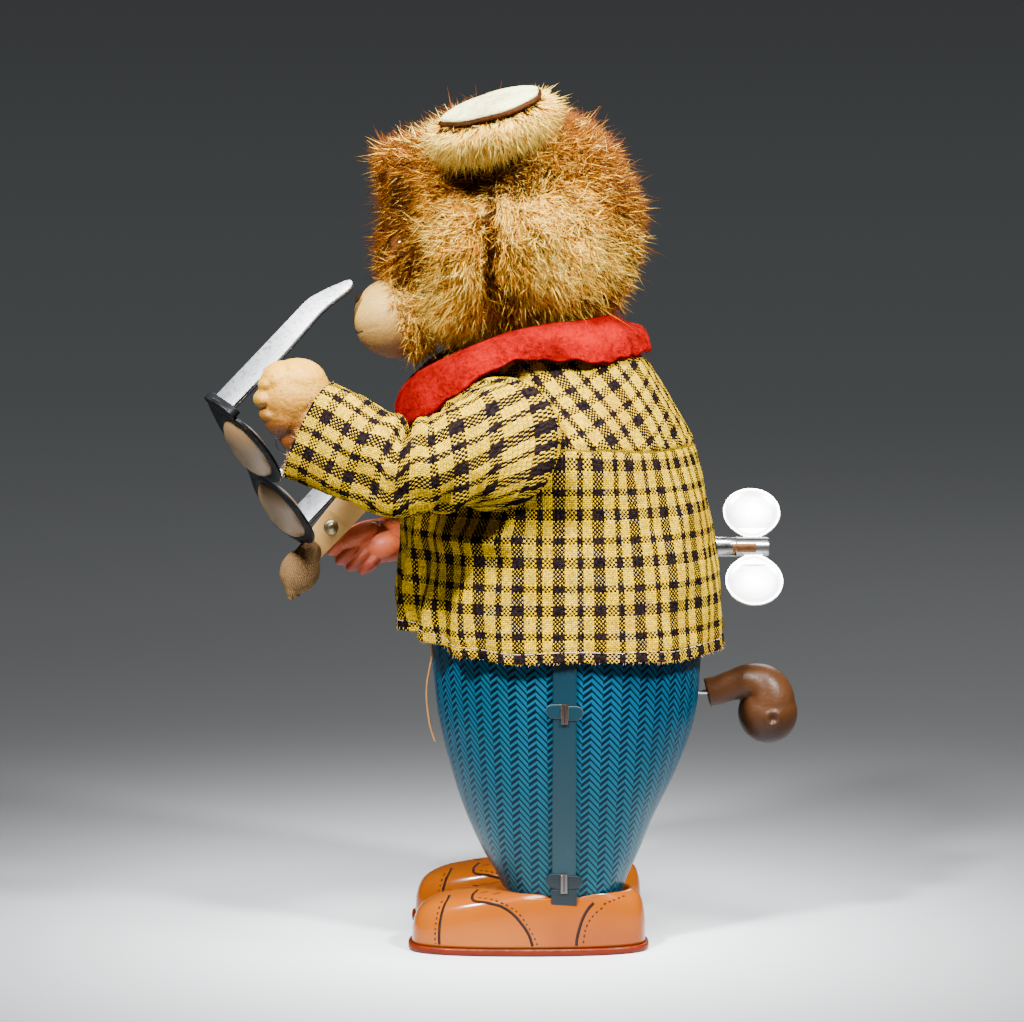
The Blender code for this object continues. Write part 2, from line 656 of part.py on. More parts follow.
def rim_shape(radii, centre, count=20):
    """A ring outline that is flatter along its top, with its upper corners lifted."""
    points = []
    for i in range(count):
        a = 2 * math.pi * i / count
        lift = 1.0 + 0.10 * abs(math.cos(a)) * max(math.sin(a), 0.0)
        points.append((centre[0] + radii[0] * math.cos(a) * lift, centre[1] + radii[1] * math.sin(a) * lift))
    return points


def spectacles():
    """A stamped frame with two rims and a bridge, a domed lens in each rim, and two flat temples."""
    frame = as_mesh(flat_piece("spectacle_frame", [rim_shape(RING_RADII, RING_CENTRES[0])], 0.8, BLACK_TIN,
                               spectacle_frame_matrix()))
    other = as_mesh(flat_piece("second_rim", [rim_shape(RING_RADII, RING_CENTRES[1])], 0.8, BLACK_TIN,
                               spectacle_frame_matrix()))
    top = [(-0.4, -4.2), (5.0, -2.0), (SPECTACLE_WIDTH / 2, 1.6), (SPECTACLE_WIDTH - 5.0, -2.0),
           (SPECTACLE_WIDTH + 0.4, -4.2), (SPECTACLE_WIDTH + 0.4, 4.4), (SPECTACLE_WIDTH - 9.0, 4.6),
           (SPECTACLE_WIDTH / 2, 5.6), (9.0, 4.6), (-0.4, 4.4)]
    brow = as_mesh(flat_piece("brow_bar", [top], 0.8, BLACK_TIN, spectacle_frame_matrix()))
    combine(frame, other, "UNION")
    combine(frame, brow, "UNION")
    opening = (RING_RADII[0] - RIM, RING_RADII[1] - RIM)
    for side, (w, h) in zip(("left", "right"), RING_CENTRES):
        hole = as_mesh(flat_piece(side + "_opening", [rim_shape(opening, (w, h))], 4.0, BLACK_TIN,
                                  spectacle_frame_matrix()))
        combine(frame, hole)
        dome = [(0.0, 3.9), (3.6, 3.6), (6.6, 2.8), (8.8, 1.0), (8.8, 0.0), (8.6, -0.2), (8.0, -0.2), (7.4, 0.6),
                (5.6, 2.1), (3.0, 2.8), (0.0, 3.1)]
        lens = loft(side + "_lens", dome_rings(dome), LENS, caps=True)
        lens.matrix_world = spectacle_frame_matrix(w, h)
    temple_outline = [(-TEMPLE_WIDTH / 2, 1.0), (TEMPLE_WIDTH / 2, 1.0), (TEMPLE_WIDTH / 2, TEMPLE_STRAIGHT),
                      (TEMPLE_WIDTH / 2, TEMPLE_STRAIGHT + 5.0), (1.2, TEMPLE_STRAIGHT + 10.7),
                      (-1.2, TEMPLE_STRAIGHT + TEMPLE_TIP - 1.6), (-2.4, TEMPLE_STRAIGHT + TEMPLE_TIP - 0.7),
                      (-3.5, TEMPLE_STRAIGHT + TEMPLE_TIP - 1.2), (-4.1, TEMPLE_STRAIGHT + TEMPLE_TIP - 3.0),
                      (-2.8, TEMPLE_STRAIGHT + 6.0), (-TEMPLE_WIDTH / 2, TEMPLE_STRAIGHT - 6.0)]
    for side, w in (("left", 0.0), ("right", SPECTACLE_WIDTH)):
        axes = Matrix((UPWARD, TEMPLE_DIRECTION, ACROSS * -1)).transposed().to_4x4()
        place = Matrix.Translation(spectacle_point(w, 0.2) * MM) @ axes
        flat_piece(side + "_temple", [temple_outline], 0.6, TIN_PLATE, place)


def dome_rings(profile, count=14):
    """An oval lens: its outer skin, its flange, then its inner skin back to the middle."""
    ratio = (RING_RADII[1] - RIM) / (RING_RADII[0] - RIM)
    rings = []
    for radius, height in profile:
        radius = max(radius, 0.05)
        scale = (RING_RADII[0] - RIM - GAP) / 8.8
        rings.append([(radius * scale * math.cos(a), radius * scale * ratio * math.sin(a), height)
                      for a in (2 * math.pi * i / count for i in range(count))])
    return rings


def polishing_cloth():
    """A chamois strap from the right hand, with a stuffed pad sewn on its end and a rivet through it."""
    along = Vector((0, 0.655, 0.756))
    turn = Matrix((Vector((1, 0, 0)), along.cross(Vector((1, 0, 0))), along)).transposed()
    strap = box("polishing_cloth", (-20.2, -64.6, 111.0), (1.2, 8.0, 22.0), CREAM_FELT, turn, bevel=0.3)
    lean = Matrix.Rotation(math.radians(-22), 3, "X")
    pad = ellipsoid("cloth_pad", (-19.6, -73.8, 97.8), (4.2, 5.6, 7.4), turn=lean, segments=14, rings=10)
    combine(strap, pad, "UNION")
    rivet = ellipsoid("cloth_rivet", (-19.6 + GAP, -64.6, 111.0), (1.1, 1.5, 1.5), BRASS, segments=14, rings=8)
    combine(rivet, box("rivet_base", (-23.0, -64.6, 111.0), (7.4, 8, 8)))


# ---------------------------------------------------------------- head

def head_ellipsoid(name, margin):
    return ellipsoid(name, HEAD_CENTRE, [r + margin for r in HEAD_RADII], None, None, 24, 14)


def head():
    arc = [math.radians(a) for a in range(-66, 97, 18)]
    cx, cy, cz = SHELL_CENTRE
    outer = [(SHELL_RADIUS * math.cos(a), cz + SHELL_RADIUS * math.sin(a)) for a in arc]
    inner_radius = SHELL_RADIUS - TIN
    inner = [(inner_radius * math.cos(a), cz + inner_radius * math.sin(a)) for a in arc]
    wall = TIN
    profile = [(NECK_RADIUS, NECK[2] - 3.2), (NECK_RADIUS, cz - 28.0), *outer[:-1], (0.05, outer[-1][1]),
               (0.05, inner[-1][1]), *inner[-2::-1], (NECK_RADIUS - wall, cz - 27.5),
               (NECK_RADIUS - wall, NECK[2] - 3.2)]
    rings = [[(cx + r * math.cos(a), cy + r * math.sin(a), z) for a in (2 * math.pi * i / 14 for i in range(14))]
             for r, z in profile]
    shell = loft("head_shell", [*rings, rings[0]], TIN_PLATE)
    weld = shell.modifiers.new("close", "WELD")
    weld.merge_threshold = 1e-6

    plush = ellipsoid("head_plush", HEAD_CENTRE, HEAD_RADII, FUR, segments=24, rings=14)
    combine(plush, ellipsoid("shell_space", SHELL_CENTRE, [SHELL_RADIUS + 1.2] * 3, segments=16, rings=10))
    combine(plush, cylinder("neck_space", (cx, cy, 150), (cx, cy, 176), NECK_RADIUS + 1.2))

    muzzle = ellipsoid("muzzle", MUZZLE_CENTRE, MUZZLE_RADII, MUZZLE_VINYL, segments=18, rings=12)
    combine(muzzle, head_ellipsoid("head_face", 0.4))
    nose = ellipsoid("nose", (0, -54.9, 178.2), (4.2, 3.4, 2.8), DARK_VINYL, segments=14, rings=8)
    combine(nose, ellipsoid("muzzle_front", MUZZLE_CENTRE, [r + 0.3 for r in MUZZLE_RADII], segments=18, rings=12))
    for side, sign in (("left", 1), ("right", -1)):
        eye = ellipsoid(side + "_eye", (sign * 13.0, -46.6, 190.0), (4.0, 4.0, 4.0), DARK_VINYL, segments=14, rings=8)
        combine(eye, head_ellipsoid(side + "_eye_seat", 0.4))
        lean = Matrix.Rotation(math.radians(19), 3, "X") @ Matrix.Rotation(math.radians(sign * 16), 3, "Y")
        x, y, z = EAR_CENTRE
        fur = ellipsoid(side + "_ear_fur", (sign * (x - 1.6), y, z - 5.6), (14.0, 17.0, 4.6), FUR, lean, 18, 8)
        combine(fur, head_ellipsoid(side + "_ear_seat", 0.4))
        felt = ellipsoid(side + "_ear_felt", (sign * x, y, z), (10.5, 13.8, 0.8), CREAM_FELT, lean, 18, 6)
        combine(felt, head_ellipsoid(side + "_felt_seat", 0.4))
    cylinder("neck_pin", (-9.2, *NECK[1:]), (9.2, *NECK[1:]), 1.0, STEEL, segments=14)


def neck_post():
    post = cylinder("neck_post", (0, NECK[1], 151.6), (0, NECK[1], NECK[2] + 4), 2.6, STEEL)
    combine(post, cylinder("neck_flange", (0, NECK[1], 151.0), (0, NECK[1], 152.2), 13.0), "UNION")
    combine(post, cylinder("neck_bore", (-9, *NECK[1:]), (9, *NECK[1:]), 1.3, segments=14))


# ---------------------------------------------------------------- tail

def tail():
    run = smooth_run([(0, 39.6, 67.2), (0, 46.5, 69.6), (0, 52.5, 70.2), (0, 55.8, 66.8), (0, 56.4, 62.0)], 3)
    stem = as_mesh(tube("tail", run, 4.1, BROWN_VINYL))
    combine(stem, ellipsoid("tail_ball", (0, 56.4, 61.6), (7.6, 8.1, 8.4), segments=16, rings=10), "UNION")
    combine(stem, cylinder("tail_bore", (0, 30.0, TAIL_AXIS_Z), (0, 46.0, TAIL_AXIS_Z), 1.1, segments=12))
    tube("tail_wire", [(0, 31.0, TAIL_AXIS_Z), (0, 36.0, TAIL_AXIS_Z), (0, 44.8, TAIL_AXIS_Z)], 0.6, STEEL)


feet()
body_shell()
seam_fittings()
jacket()
collar()
sleeves()
hem_thread()
motor_frame()
mainspring()
key()
winding_train()
running_train()
arms()
left_hand()
right_hand()
spectacles()
polishing_cloth()
head()
neck_post()
tail()

toy = bpy.data.objects.new("toy", None)
toy.location = mm(0.0, BODY_TO_WORLD_Y, 0.0)
bpy.context.scene.collection.objects.link(toy)
for thing in [*parts.objects, *cutters.objects]:
    thing.parent = toy
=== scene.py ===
"""Looks of the wind-up tin toy: a plush-headed bear in a plaid jacket that polishes its spectacles.

Lengths below are millimetres in the body's own frame, as in the CAD: side seams in the plane Y = 0,
mid-plane X = 0, facing -Y, standing on Z = 0. place() turns them into the frame's metres.
"""
import json
import math

import bmesh
import bpy
import numpy as np
from mathutils import Matrix, Vector, noise
from mathutils.bvhtree import BVHTree


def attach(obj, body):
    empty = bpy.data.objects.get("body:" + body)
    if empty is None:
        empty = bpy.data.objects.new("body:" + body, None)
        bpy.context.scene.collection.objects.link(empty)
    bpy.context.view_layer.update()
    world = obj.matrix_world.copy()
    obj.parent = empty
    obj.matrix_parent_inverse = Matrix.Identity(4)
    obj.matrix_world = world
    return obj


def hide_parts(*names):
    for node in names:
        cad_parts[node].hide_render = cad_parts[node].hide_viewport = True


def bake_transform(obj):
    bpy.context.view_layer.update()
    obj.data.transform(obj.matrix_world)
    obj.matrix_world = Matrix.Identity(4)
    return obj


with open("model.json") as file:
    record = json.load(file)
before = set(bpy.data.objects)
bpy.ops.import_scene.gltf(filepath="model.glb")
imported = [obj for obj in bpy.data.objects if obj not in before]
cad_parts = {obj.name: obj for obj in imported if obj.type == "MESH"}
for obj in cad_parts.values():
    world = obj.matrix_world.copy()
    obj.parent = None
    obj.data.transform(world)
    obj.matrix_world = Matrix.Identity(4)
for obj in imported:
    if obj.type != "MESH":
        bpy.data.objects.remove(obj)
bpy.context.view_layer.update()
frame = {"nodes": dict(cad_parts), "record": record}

MM = 0.001
BODY_TO_WORLD_Y = 15.5
TAU = 2 * math.pi
SIDES = (("left", 1), ("right", -1))


def place(points):
    """Body-frame millimetres to the frame's metres."""
    moved = np.array(points, float)
    moved[..., 1] += BODY_TO_WORLD_Y
    return moved * MM


def shown(name, data):
    """A new object of the scene."""
    thing = bpy.data.objects.new(name, data)
    bpy.context.scene.collection.objects.link(thing)
    return thing


def aim(thing, direction):
    """Turns a camera or a light, which look along their own -Z, to a direction."""
    thing.rotation_mode = "QUATERNION"
    thing.rotation_quaternion = direction.to_track_quat("-Z", "Y")


# ---------------------------------------------------------------- camera

CAMERA_DISTANCE, CAMERA_ELEVATION, CAMERA_LENS = 1100.0, math.radians(6.0), 140.8
CAMERA_TARGET = Vector(place((0.0, -14.0, 117.6)))

camera = shown("camera", bpy.data.cameras.new("camera"))
camera.data.lens, camera.data.sensor_width = CAMERA_LENS, 36.0
camera_back = Vector((math.cos(CAMERA_ELEVATION), 0.0, math.sin(CAMERA_ELEVATION)))
camera.location = CAMERA_TARGET + camera_back * CAMERA_DISTANCE * MM
aim(camera, -camera_back)
camera.data.clip_start, camera.data.clip_end = 0.05, 30.0
bpy.context.scene.camera = camera


# ---------------------------------------------------------------- material nodes

def arithmetic(operation, swapped=False):
    """A method that adds one math node for an operator between a wire and another value."""
    def method(self, other):
        pair = (other, self) if swapped else (self, other)
        return self.finish.math(operation, *pair)
    return method


class Wire:
    """A value in a node material, to which numbers and other wires can be added and so on."""

    __add__ = __radd__ = arithmetic("ADD")
    __sub__, __rsub__ = arithmetic("SUBTRACT"), arithmetic("SUBTRACT", swapped=True)
    __mul__ = __rmul__ = arithmetic("MULTIPLY")
    __truediv__, __mod__ = arithmetic("DIVIDE"), arithmetic("FLOORED_MODULO")
    __gt__, __lt__ = arithmetic("GREATER_THAN"), arithmetic("LESS_THAN")

    def __init__(self, finish, socket):
        self.finish, self.socket = finish, socket

    def __abs__(self):
        return self.finish.math("ABSOLUTE", self)

    def __floor__(self):
        return self.finish.math("FLOOR", self)


class Finish:
    """A node material, with short names for the nodes that the finishes below use."""

    def __init__(self, name, colour=(0.5, 0.5, 0.5), roughness=0.5, metallic=0.0, **sockets):
        self.material = bpy.data.materials.new(name)
        self.material.use_nodes = True
        self.tree = self.material.node_tree
        self.shader = self.tree.nodes["Principled BSDF"]
        self.set("Base Color", colour)
        self.set("Roughness", roughness)
        self.set("Metallic", metallic)
        for socket, value in sockets.items():
            self.set(socket.replace("_", " "), value)

    def set(self, socket, value):
        self.feed(self.shader.inputs[socket], value)

    def feed(self, socket, value):
        if isinstance(value, Wire):
            self.tree.links.new(value.socket, socket)
        elif socket.type == "RGBA":
            socket.default_value = (*value, 1.0)
        else:
            socket.default_value = value

    def node(self, kind, output=0, inputs=None, **settings):
        """The named or numbered output of a new node, its inputs given by name or number."""
        made = self.tree.nodes.new(kind)
        for key, value in settings.items():
            setattr(made, key, value)
        for key, value in (inputs or {}).items():
            self.feed(made.inputs[key], value)
        return Wire(self, made.outputs[output])

    def math(self, operation, *values, clamp=False):
        return self.node("ShaderNodeMath", 0, dict(enumerate(values)), operation=operation, use_clamp=clamp)

    def coordinates(self, kind="Object"):
        return self.node("ShaderNodeTexCoord", kind)

    def axes(self, vector=None):
        split = self.node("ShaderNodeSeparateXYZ", 0, {0: vector or self.coordinates()})
        return [Wire(self, socket) for socket in split.socket.node.outputs]

    def noise(self, scale, detail=3.0, roughness=0.55, vector=None, stretch=None):
        vector = vector or self.coordinates()
        if stretch:
            vector = self.node("ShaderNodeMapping", 0, {"Vector": vector, "Scale": stretch})
        return self.node("ShaderNodeTexNoise", "Fac", {
            "Vector": vector, "Scale": scale, "Detail": detail, "Roughness": roughness})

    def spots(self, scale):
        return self.node("ShaderNodeTexVoronoi", "Distance", {
            "Vector": self.coordinates(), "Scale": scale, "Randomness": 1.0})

    def step(self, value, low, high):
        """0 below low, 1 above high, smooth between."""
        return self.node("ShaderNodeMapRange", 0, {"Value": value, "From Min": low, "From Max": high},
                         interpolation_type="SMOOTHSTEP")

    def scale(self, value, low, high):
        """Maps 0..1 to low..high."""
        return self.node("ShaderNodeMapRange", 0, {"Value": value, "To Min": low, "To Max": high})

    def mix(self, factor, first, second):
        return self.node("ShaderNodeMix", 2, {0: factor, 6: first, 7: second}, data_type="RGBA")

    def worn_edge(self, radius):
        """About 0 on flats and 1 on convex edges."""
        bevelled = self.node("ShaderNodeBevel", 0, {"Radius": radius}, samples=4)
        true_normal = self.node("ShaderNodeNewGeometry", "Normal")
        likeness = self.node("ShaderNodeVectorMath", "Value", {0: bevelled, 1: true_normal},
                             operation="DOT_PRODUCT")
        return self.step(1.0 - likeness, 0.01, 0.12)

    def bump(self, height, depth_mm, strength=1.0):
        self.set("Normal", self.node("ShaderNodeBump", 0, {
            "Strength": strength, "Distance": depth_mm * MM, "Height": height}))


def plain(name, colour, roughness, variation=0.15, grain=900.0, depth=0.03, **sockets):
    """A finish of one colour with a mottled tone, uneven gloss and a fine grain."""
    finish = Finish(name, colour, roughness, **sockets)
    darker = [c * (1 - variation * 1.6) for c in colour]
    lighter = [min(c * (1 + variation), 1.0) for c in colour]
    finish.set("Base Color", finish.mix(finish.noise(grain * 0.12), darker, lighter))
    gloss = finish.scale(finish.noise(grain * 0.3), roughness * 0.75, min(roughness * 1.3, 1.0))
    finish.set("Roughness", gloss)
    finish.bump(finish.noise(grain), depth)
    return finish.material


WARP_PITCH, WEFT_PITCH = 0.54, 0.58
# Dark bands of threads, each (start, width), in a repeat of the pattern
WARP_REPEAT, WARP_BANDS = 10.8, ((0.0, 3.24), (5.94, 1.62))
WEFT_REPEAT, WEFT_BANDS = 12.76, ((0.0, 2.9), (6.38, 1.74))


def plaid_cloth():
    """Plain weave: yellow cotton with dark warp and weft stripes, in millimetres of cloth."""
    finish = Finish("plaid_weave", roughness=0.95, Specular_IOR_Level=0.0)
    cloth = finish.coordinates("UV")
    u, v, _ = finish.axes(cloth)
    wobble = finish.scale(finish.noise(0.35, 2.0, vector=cloth), -0.35, 0.35)
    across, along = (u + wobble) / WARP_PITCH, (v + wobble) / WEFT_PITCH
    column, row = math.floor(across), math.floor(along)
    warp_up = (column + row) % 2.0
    warp_down = 1.0 - warp_up

    def striped(index, pitch, repeat, bands):
        where = (index + 0.5) * pitch % repeat
        total = 0.0
        for start, width in bands:
            inside = finish.math("COMPARE", where, start + width / 2, width / 2)
            total = finish.math("MAXIMUM", total, inside)
        return total

    def from_middle(value):
        return finish.math("FRACT", value) - 0.5

    def rounded(value):
        return 1.0 - from_middle(value) * from_middle(value) * 4.0

    warp_dark = striped(column, WARP_PITCH, WARP_REPEAT, WARP_BANDS)
    weft_dark = striped(row, WEFT_PITCH, WEFT_REPEAT, WEFT_BANDS)
    beside_warp = warp_dark * warp_down * (abs(from_middle(across)) > 0.27)
    dark = finish.math("ADD", warp_dark * warp_up, weft_dark * warp_down, clamp=True)
    dark = finish.math("ADD", dark, beside_warp, clamp=True)
    # The gaps between threads, which are painted dark below as shade.
    gap = (abs(from_middle(across)) > 0.40) * (abs(from_middle(along)) > 0.40)
    thread = finish.node("ShaderNodeCombineXYZ", 0, {0: column, 1: row})
    tone = finish.node("ShaderNodeTexWhiteNoise", "Value", {"Vector": thread}, noise_dimensions="2D")
    stain = finish.step(finish.noise(0.05, 3.0, vector=cloth), 0.50, 0.72)
    height = rounded(across) * warp_up + rounded(along) * warp_down

    yellow = finish.mix(tone, (0.300, 0.188, 0.0002), (0.640, 0.405, 0.0006))
    yellow = finish.mix(stain * 0.35, yellow, (0.3456, 0.144, 0.00072))
    # Painted shade: the gaps between threads are darkened, and each thread darkens towards its rounded edges.
    yellow = finish.mix(gap * 0.6, yellow, (0.072, 0.0288, 0.00288))
    yellow = finish.mix(finish.step(height, 0.05, 0.62), (0.115, 0.060, 0.0002), yellow)
    navy = finish.mix(tone, (0.0032, 0.0023, 0.0038), (0.0140, 0.0086, 0.0072))
    finish.set("Base Color", finish.mix(dark, yellow, navy))
    finish.bump(height, 0.16, 0.9)
    return finish.material


# The herringbone's columns of thick and of thin strokes: widths, rise across each, share of ink
THICK_COLUMN, THIN_COLUMN, STROKE_PITCH = 2.6, 3.0, 1.88
THICK_RISE, THIN_RISE = -0.72, 0.98
THICK_INK, THIN_LESS_INK = 0.56, 0.24


def herringbone_litho():
    """Blue litho print with a navy herringbone. U is millimetres round the leg, V the height."""
    finish = Finish("litho_herringbone", roughness=0.38, Specular_IOR_Level=0.10)
    u, v, _ = finish.axes(finish.coordinates("UV"))
    across = u % (THICK_COLUMN + THIN_COLUMN)
    thin = across > THICK_COLUMN
    rising = finish.math("MINIMUM", across, THICK_COLUMN) * THICK_RISE
    falling = finish.math("MAXIMUM", across - THICK_COLUMN, 0.0) * THIN_RISE
    phase = finish.math("FRACT", (v + (rising + falling)) / STROKE_PITCH)
    line = phase < THICK_INK - thin * THIN_LESS_INK
    height = finish.step(v, 22.0, 78.0)
    blue = finish.mix(height, (0.0028, 0.03808, 0.04928), (0.00056, 0.0448, 0.08848))
    blue = finish.mix(finish.step(finish.noise(18.0, 2.0), 0.35, 0.75), blue, (0.00112, 0.05488, 0.084))
    navy = finish.mix(height, (0.00123, 0.00392, 0.01008), (0.00056, 0.00196, 0.0056))
    chips = finish.noise(95.2, 2.24, 0.392) > 0.745
    finish.set("Base Color", finish.mix(chips, finish.mix(line, blue, navy), (0.056, 0.0896, 0.0952)))
    finish.set("Roughness", finish.scale(finish.noise(120.0), 0.22, 0.40))
    finish.bump(line + finish.noise(60.0, 1.0), 0.012, 0.5)
    return finish.material


def teal_tin():
    finish = Finish("litho_teal_strip", roughness=0.4, Specular_IOR_Level=0.2)
    up = finish.step(finish.axes()[2], 0.02, 0.085)
    teal = finish.mix(up, (0.00341, 0.01674, 0.02294), (0.00136, 0.01302, 0.02108))
    teal = finish.mix(finish.step(finish.noise(220.0), 0.60, 0.80), teal, (0.00372, 0.0186, 0.02604))
    finish.set("Base Color", finish.mix(finish.worn_edge(0.0003), teal, (0.0806, 0.0744, 0.0558)))
    finish.bump(finish.noise(500.0), 0.02)
    return finish.material


def tan_litho():
    finish = Finish("litho_shoe_tan", roughness=0.26, Specular_IOR_Level=0.08, Coat_Weight=0.26,
                    Coat_Roughness=0.10)
    # Painted shade: the shoe is darker near its bottom edge and lighter higher up.
    up = finish.step(finish.axes()[2], 0.002, 0.015)
    tan = finish.mix(up, (0.140, 0.0265, 0.0), (0.172, 0.0370, 0.0))
    tan = finish.mix(finish.step(finish.noise(45.0, 2.0), 0.40, 0.72), tan, (0.196, 0.0455, 0.00017))
    clean = finish.step(finish.spots(1500.0), 0.0, 0.28)
    speckle = (1.0 - clean) * finish.step(finish.noise(90.0), 0.60, 0.66)
    finish.set("Base Color", finish.mix(speckle, tan, (0.084, 0.01456, 0.00028)))
    finish.set("Roughness", finish.scale(finish.noise(140.0), 0.14, 0.30))
    finish.bump(finish.noise(60.0, 1.0), 0.05, 0.6)
    return finish.material


def sole_paint():
    finish = Finish("litho_sole_red", roughness=0.45, Specular_IOR_Level=0.08, Coat_Weight=0.06,
                    Coat_Roughness=0.15)
    red = finish.mix(finish.noise(160.0), (0.054, 0.0042, 0.00006), (0.09, 0.0078, 0.00006))
    scratched = finish.worn_edge(0.0007) * finish.step(finish.noise(700.0, 4.0), 0.47, 0.60)
    finish.set("Base Color", finish.mix(scratched, red, (0.27, 0.168, 0.102)))
    finish.bump(finish.noise(400.0), 0.03)
    return finish.material


def felt(name, colour):
    finish = Finish(name, roughness=0.95, Specular_IOR_Level=0.02)
    matted, lumps = finish.noise(650.0, 6.0, 0.75), finish.noise(110.0)
    darker, lighter = [c * 0.50 for c in colour], [min(c * 1.4, 1.0) for c in colour]
    finish.set("Base Color", finish.mix(finish.step((matted + lumps) * 0.5, 0.34, 0.62), darker, lighter))
    finish.bump(matted + lumps * 1.6, 1.3)
    return finish.material


def plush_ground():
    finish = Finish("plush_ground", roughness=0.95)
    tufts = finish.noise(294, 3.5, 0.49)
    finish.set("Base Color", finish.mix(tufts, (0.035, 0.0105, 0.0007), (0.154, 0.056, 0.0042)))
    finish.bump(tufts, 0.8)
    return finish.material


def muzzle_vinyl():
    finish = Finish("muzzle_vinyl", roughness=0.6, Specular_IOR_Level=0.25)
    # Painted shade: the muzzle darkens towards its underside, below about 159 to 175 mm.
    low = 1.0 - finish.step(finish.axes()[2], 0.159, 0.175)
    stain = finish.step(finish.noise(60.0, 4.0), 0.60, 0.80)
    cream = finish.mix(finish.noise(140.0, 4.0), (0.3536, 0.1938, 0.0374), (0.5032, 0.3128, 0.0748))
    cream = finish.mix(low * 0.85, cream, (0.0884, 0.0238, 0.00272))
    finish.set("Base Color", finish.mix(stain * 0.5, cream, (0.136, 0.0476, 0.0068)))
    finish.bump(finish.noise(420.0, 4.0) + finish.noise(1500.0), 0.22)
    return finish.material


def hand_vinyl(name, pale, dark, pebble, low, high):
    """Pebbled vinyl with painted shade that darkens it downwards between two heights in millimetres."""
    finish = Finish(name, roughness=0.52, Specular_IOR_Level=0.3)
    bumps = finish.noise(pebble, 4.0, 0.6)
    dirt = finish.step(finish.noise(120.0, 4.0), 0.56, 0.80)
    pits = 1.0 - finish.step(bumps, 0.30, 0.48)
    # Painted shade: the dark colour below the low height, the pale one above the high height.
    colour = finish.mix(finish.step(finish.axes()[2], low * MM, high * MM), dark, pale)
    colour = finish.mix(dirt * 0.35, colour, dark)
    finish.set("Base Color", finish.mix(pits * 0.35, colour, dark))
    finish.bump(bumps, 0.45)
    return finish.material


def speckled_tin():
    finish = Finish("temple_tin", roughness=0.42, metallic=0.55)
    speckle = finish.step(finish.noise(855, 3.8, 0.665), 0.50, 0.72)
    tone = finish.noise(60.0)
    # Painted reflection: the temple is dark and dull low down and bright higher up.
    shaded_silver = finish.mix(tone, (0.085, 0.089, 0.098), (0.235, 0.241, 0.250))
    lit_silver = finish.mix(tone, (0.38, 0.39, 0.41), (0.80, 0.81, 0.82))
    silver = finish.mix(finish.step(finish.axes()[2], 0.152, 0.180), shaded_silver, lit_silver)
    finish.set("Base Color", finish.mix(speckle * 0.8, silver, (0.050, 0.050, 0.056)))
    finish.set("Roughness", finish.scale(finish.noise(700.0, 4.0), 0.28, 0.60))
    finish.bump(finish.noise(1200.0, 4.0), 0.05)
    return finish.material


def black_enamel():
    finish = Finish("spectacle_black", roughness=0.45, Specular_IOR_Level=0.06)
    tone = finish.mix(finish.noise(300.0), (0.00186, 0.00217, 0.00248), (0.00744, 0.00806, 0.0093))
    rubbed = finish.worn_edge(0.0004) * finish.step(finish.noise(420.0, 4.0), 0.52, 0.66)
    finish.set("Base Color", finish.mix(rubbed, tone, (0.0992, 0.0868, 0.0682)))
    finish.set("Roughness", finish.scale(finish.noise(260.0), 0.25, 0.50))
    finish.bump(finish.noise(700.0), 0.02)
    return finish.material


def clouded_lens():
    finish = Finish("clouded_lens", roughness=0.3, Specular_IOR_Level=0.3, Coat_Weight=0.2,
                    Coat_Roughness=0.25)
    cream = finish.mix(finish.noise(90.0), (0.125, 0.070, 0.027), (0.205, 0.132, 0.060))
    dirt = finish.step(finish.noise(166.4, 3.2, 0.416), 0.60, 0.78)
    finish.set("Base Color", finish.mix(dirt * 0.5, cream, (0.0544, 0.02688, 0.01024)))
    finish.set("Roughness", finish.scale(finish.noise(200.0), 0.22, 0.45))
    finish.bump(finish.noise(160.0), 0.05)
    return finish.material


def woven_pad():
    finish = Finish("pad_weave", roughness=0.9, Specular_IOR_Level=0.1)
    _, y, z = finish.axes()
    ribs = finish.math("SINE", (y + z * 0.5) * (TAU / 0.00075))
    picks = finish.math("SINE", (z - y * 0.4) * (TAU / 0.0008))
    weave = ribs * picks * 0.35 + 0.5
    cloth = finish.mix(weave, (0.0792, 0.04092, 0.01584), (0.198, 0.1155, 0.0462))
    # Real grime here: darker patches at random.
    grime_and_shade = finish.step(finish.noise(130.0, 4.0), 0.50, 0.76)
    finish.set("Base Color", finish.mix(grime_and_shade, cloth, (0.0363, 0.0132, 0.0033)))
    finish.bump(weave, 0.18)
    return finish.material


def brushed(name, colour, roughness, grain=(1.0, 1.0, 1.0), metallic=1.0):
    finish = Finish(name, colour, roughness, metallic)
    lines = finish.noise(700.0, stretch=grain)
    finish.set("Base Color", finish.mix(finish.noise(90.0, 4.0), [c * 0.72 for c in colour], colour))
    finish.set("Roughness", finish.scale(lines, roughness * 0.6, min(roughness * 1.5, 1.0)))
    finish.bump(lines, 0.02)
    return finish.material


def tail_vinyl():
    finish = Finish("tail_vinyl", roughness=0.46, Specular_IOR_Level=0.14)
    # Painted shade: the tail darkens towards its bottom, below about 54 to 67 mm.
    grime_and_shade = 1.0 - finish.step(finish.axes()[2], 0.054, 0.067)
    marks = finish.step(finish.noise(105.8, 2.3, 0.322), 0.60, 0.80)
    brown = finish.mix(finish.noise(75.0, 4.0), (0.0215, 0.0072, 0.0018), (0.0490, 0.0180, 0.0054))
    brown = finish.mix(grime_and_shade * 0.8, brown, (0.0110, 0.0036, 0.0010))
    finish.set("Base Color", finish.mix(marks * 0.5, brown, (0.0506, 0.01932, 0.00782)))
    finish.set("Roughness", finish.scale(finish.noise(160.0), 0.28, 0.52))
    finish.bump(finish.noise(260.0) + finish.noise(1100.0), 0.10)
    return finish.material


def fur_strand(name, colour, shiny):
    """One shade of fur. The palest strands catch a warm light."""
    finish = Finish(name, colour, 0.34, Specular_IOR_Level=0.6 if shiny else 0.12)
    if shiny:
        finish.set("Specular Tint", (1.0, 0.80, 0.30))
    return finish.material


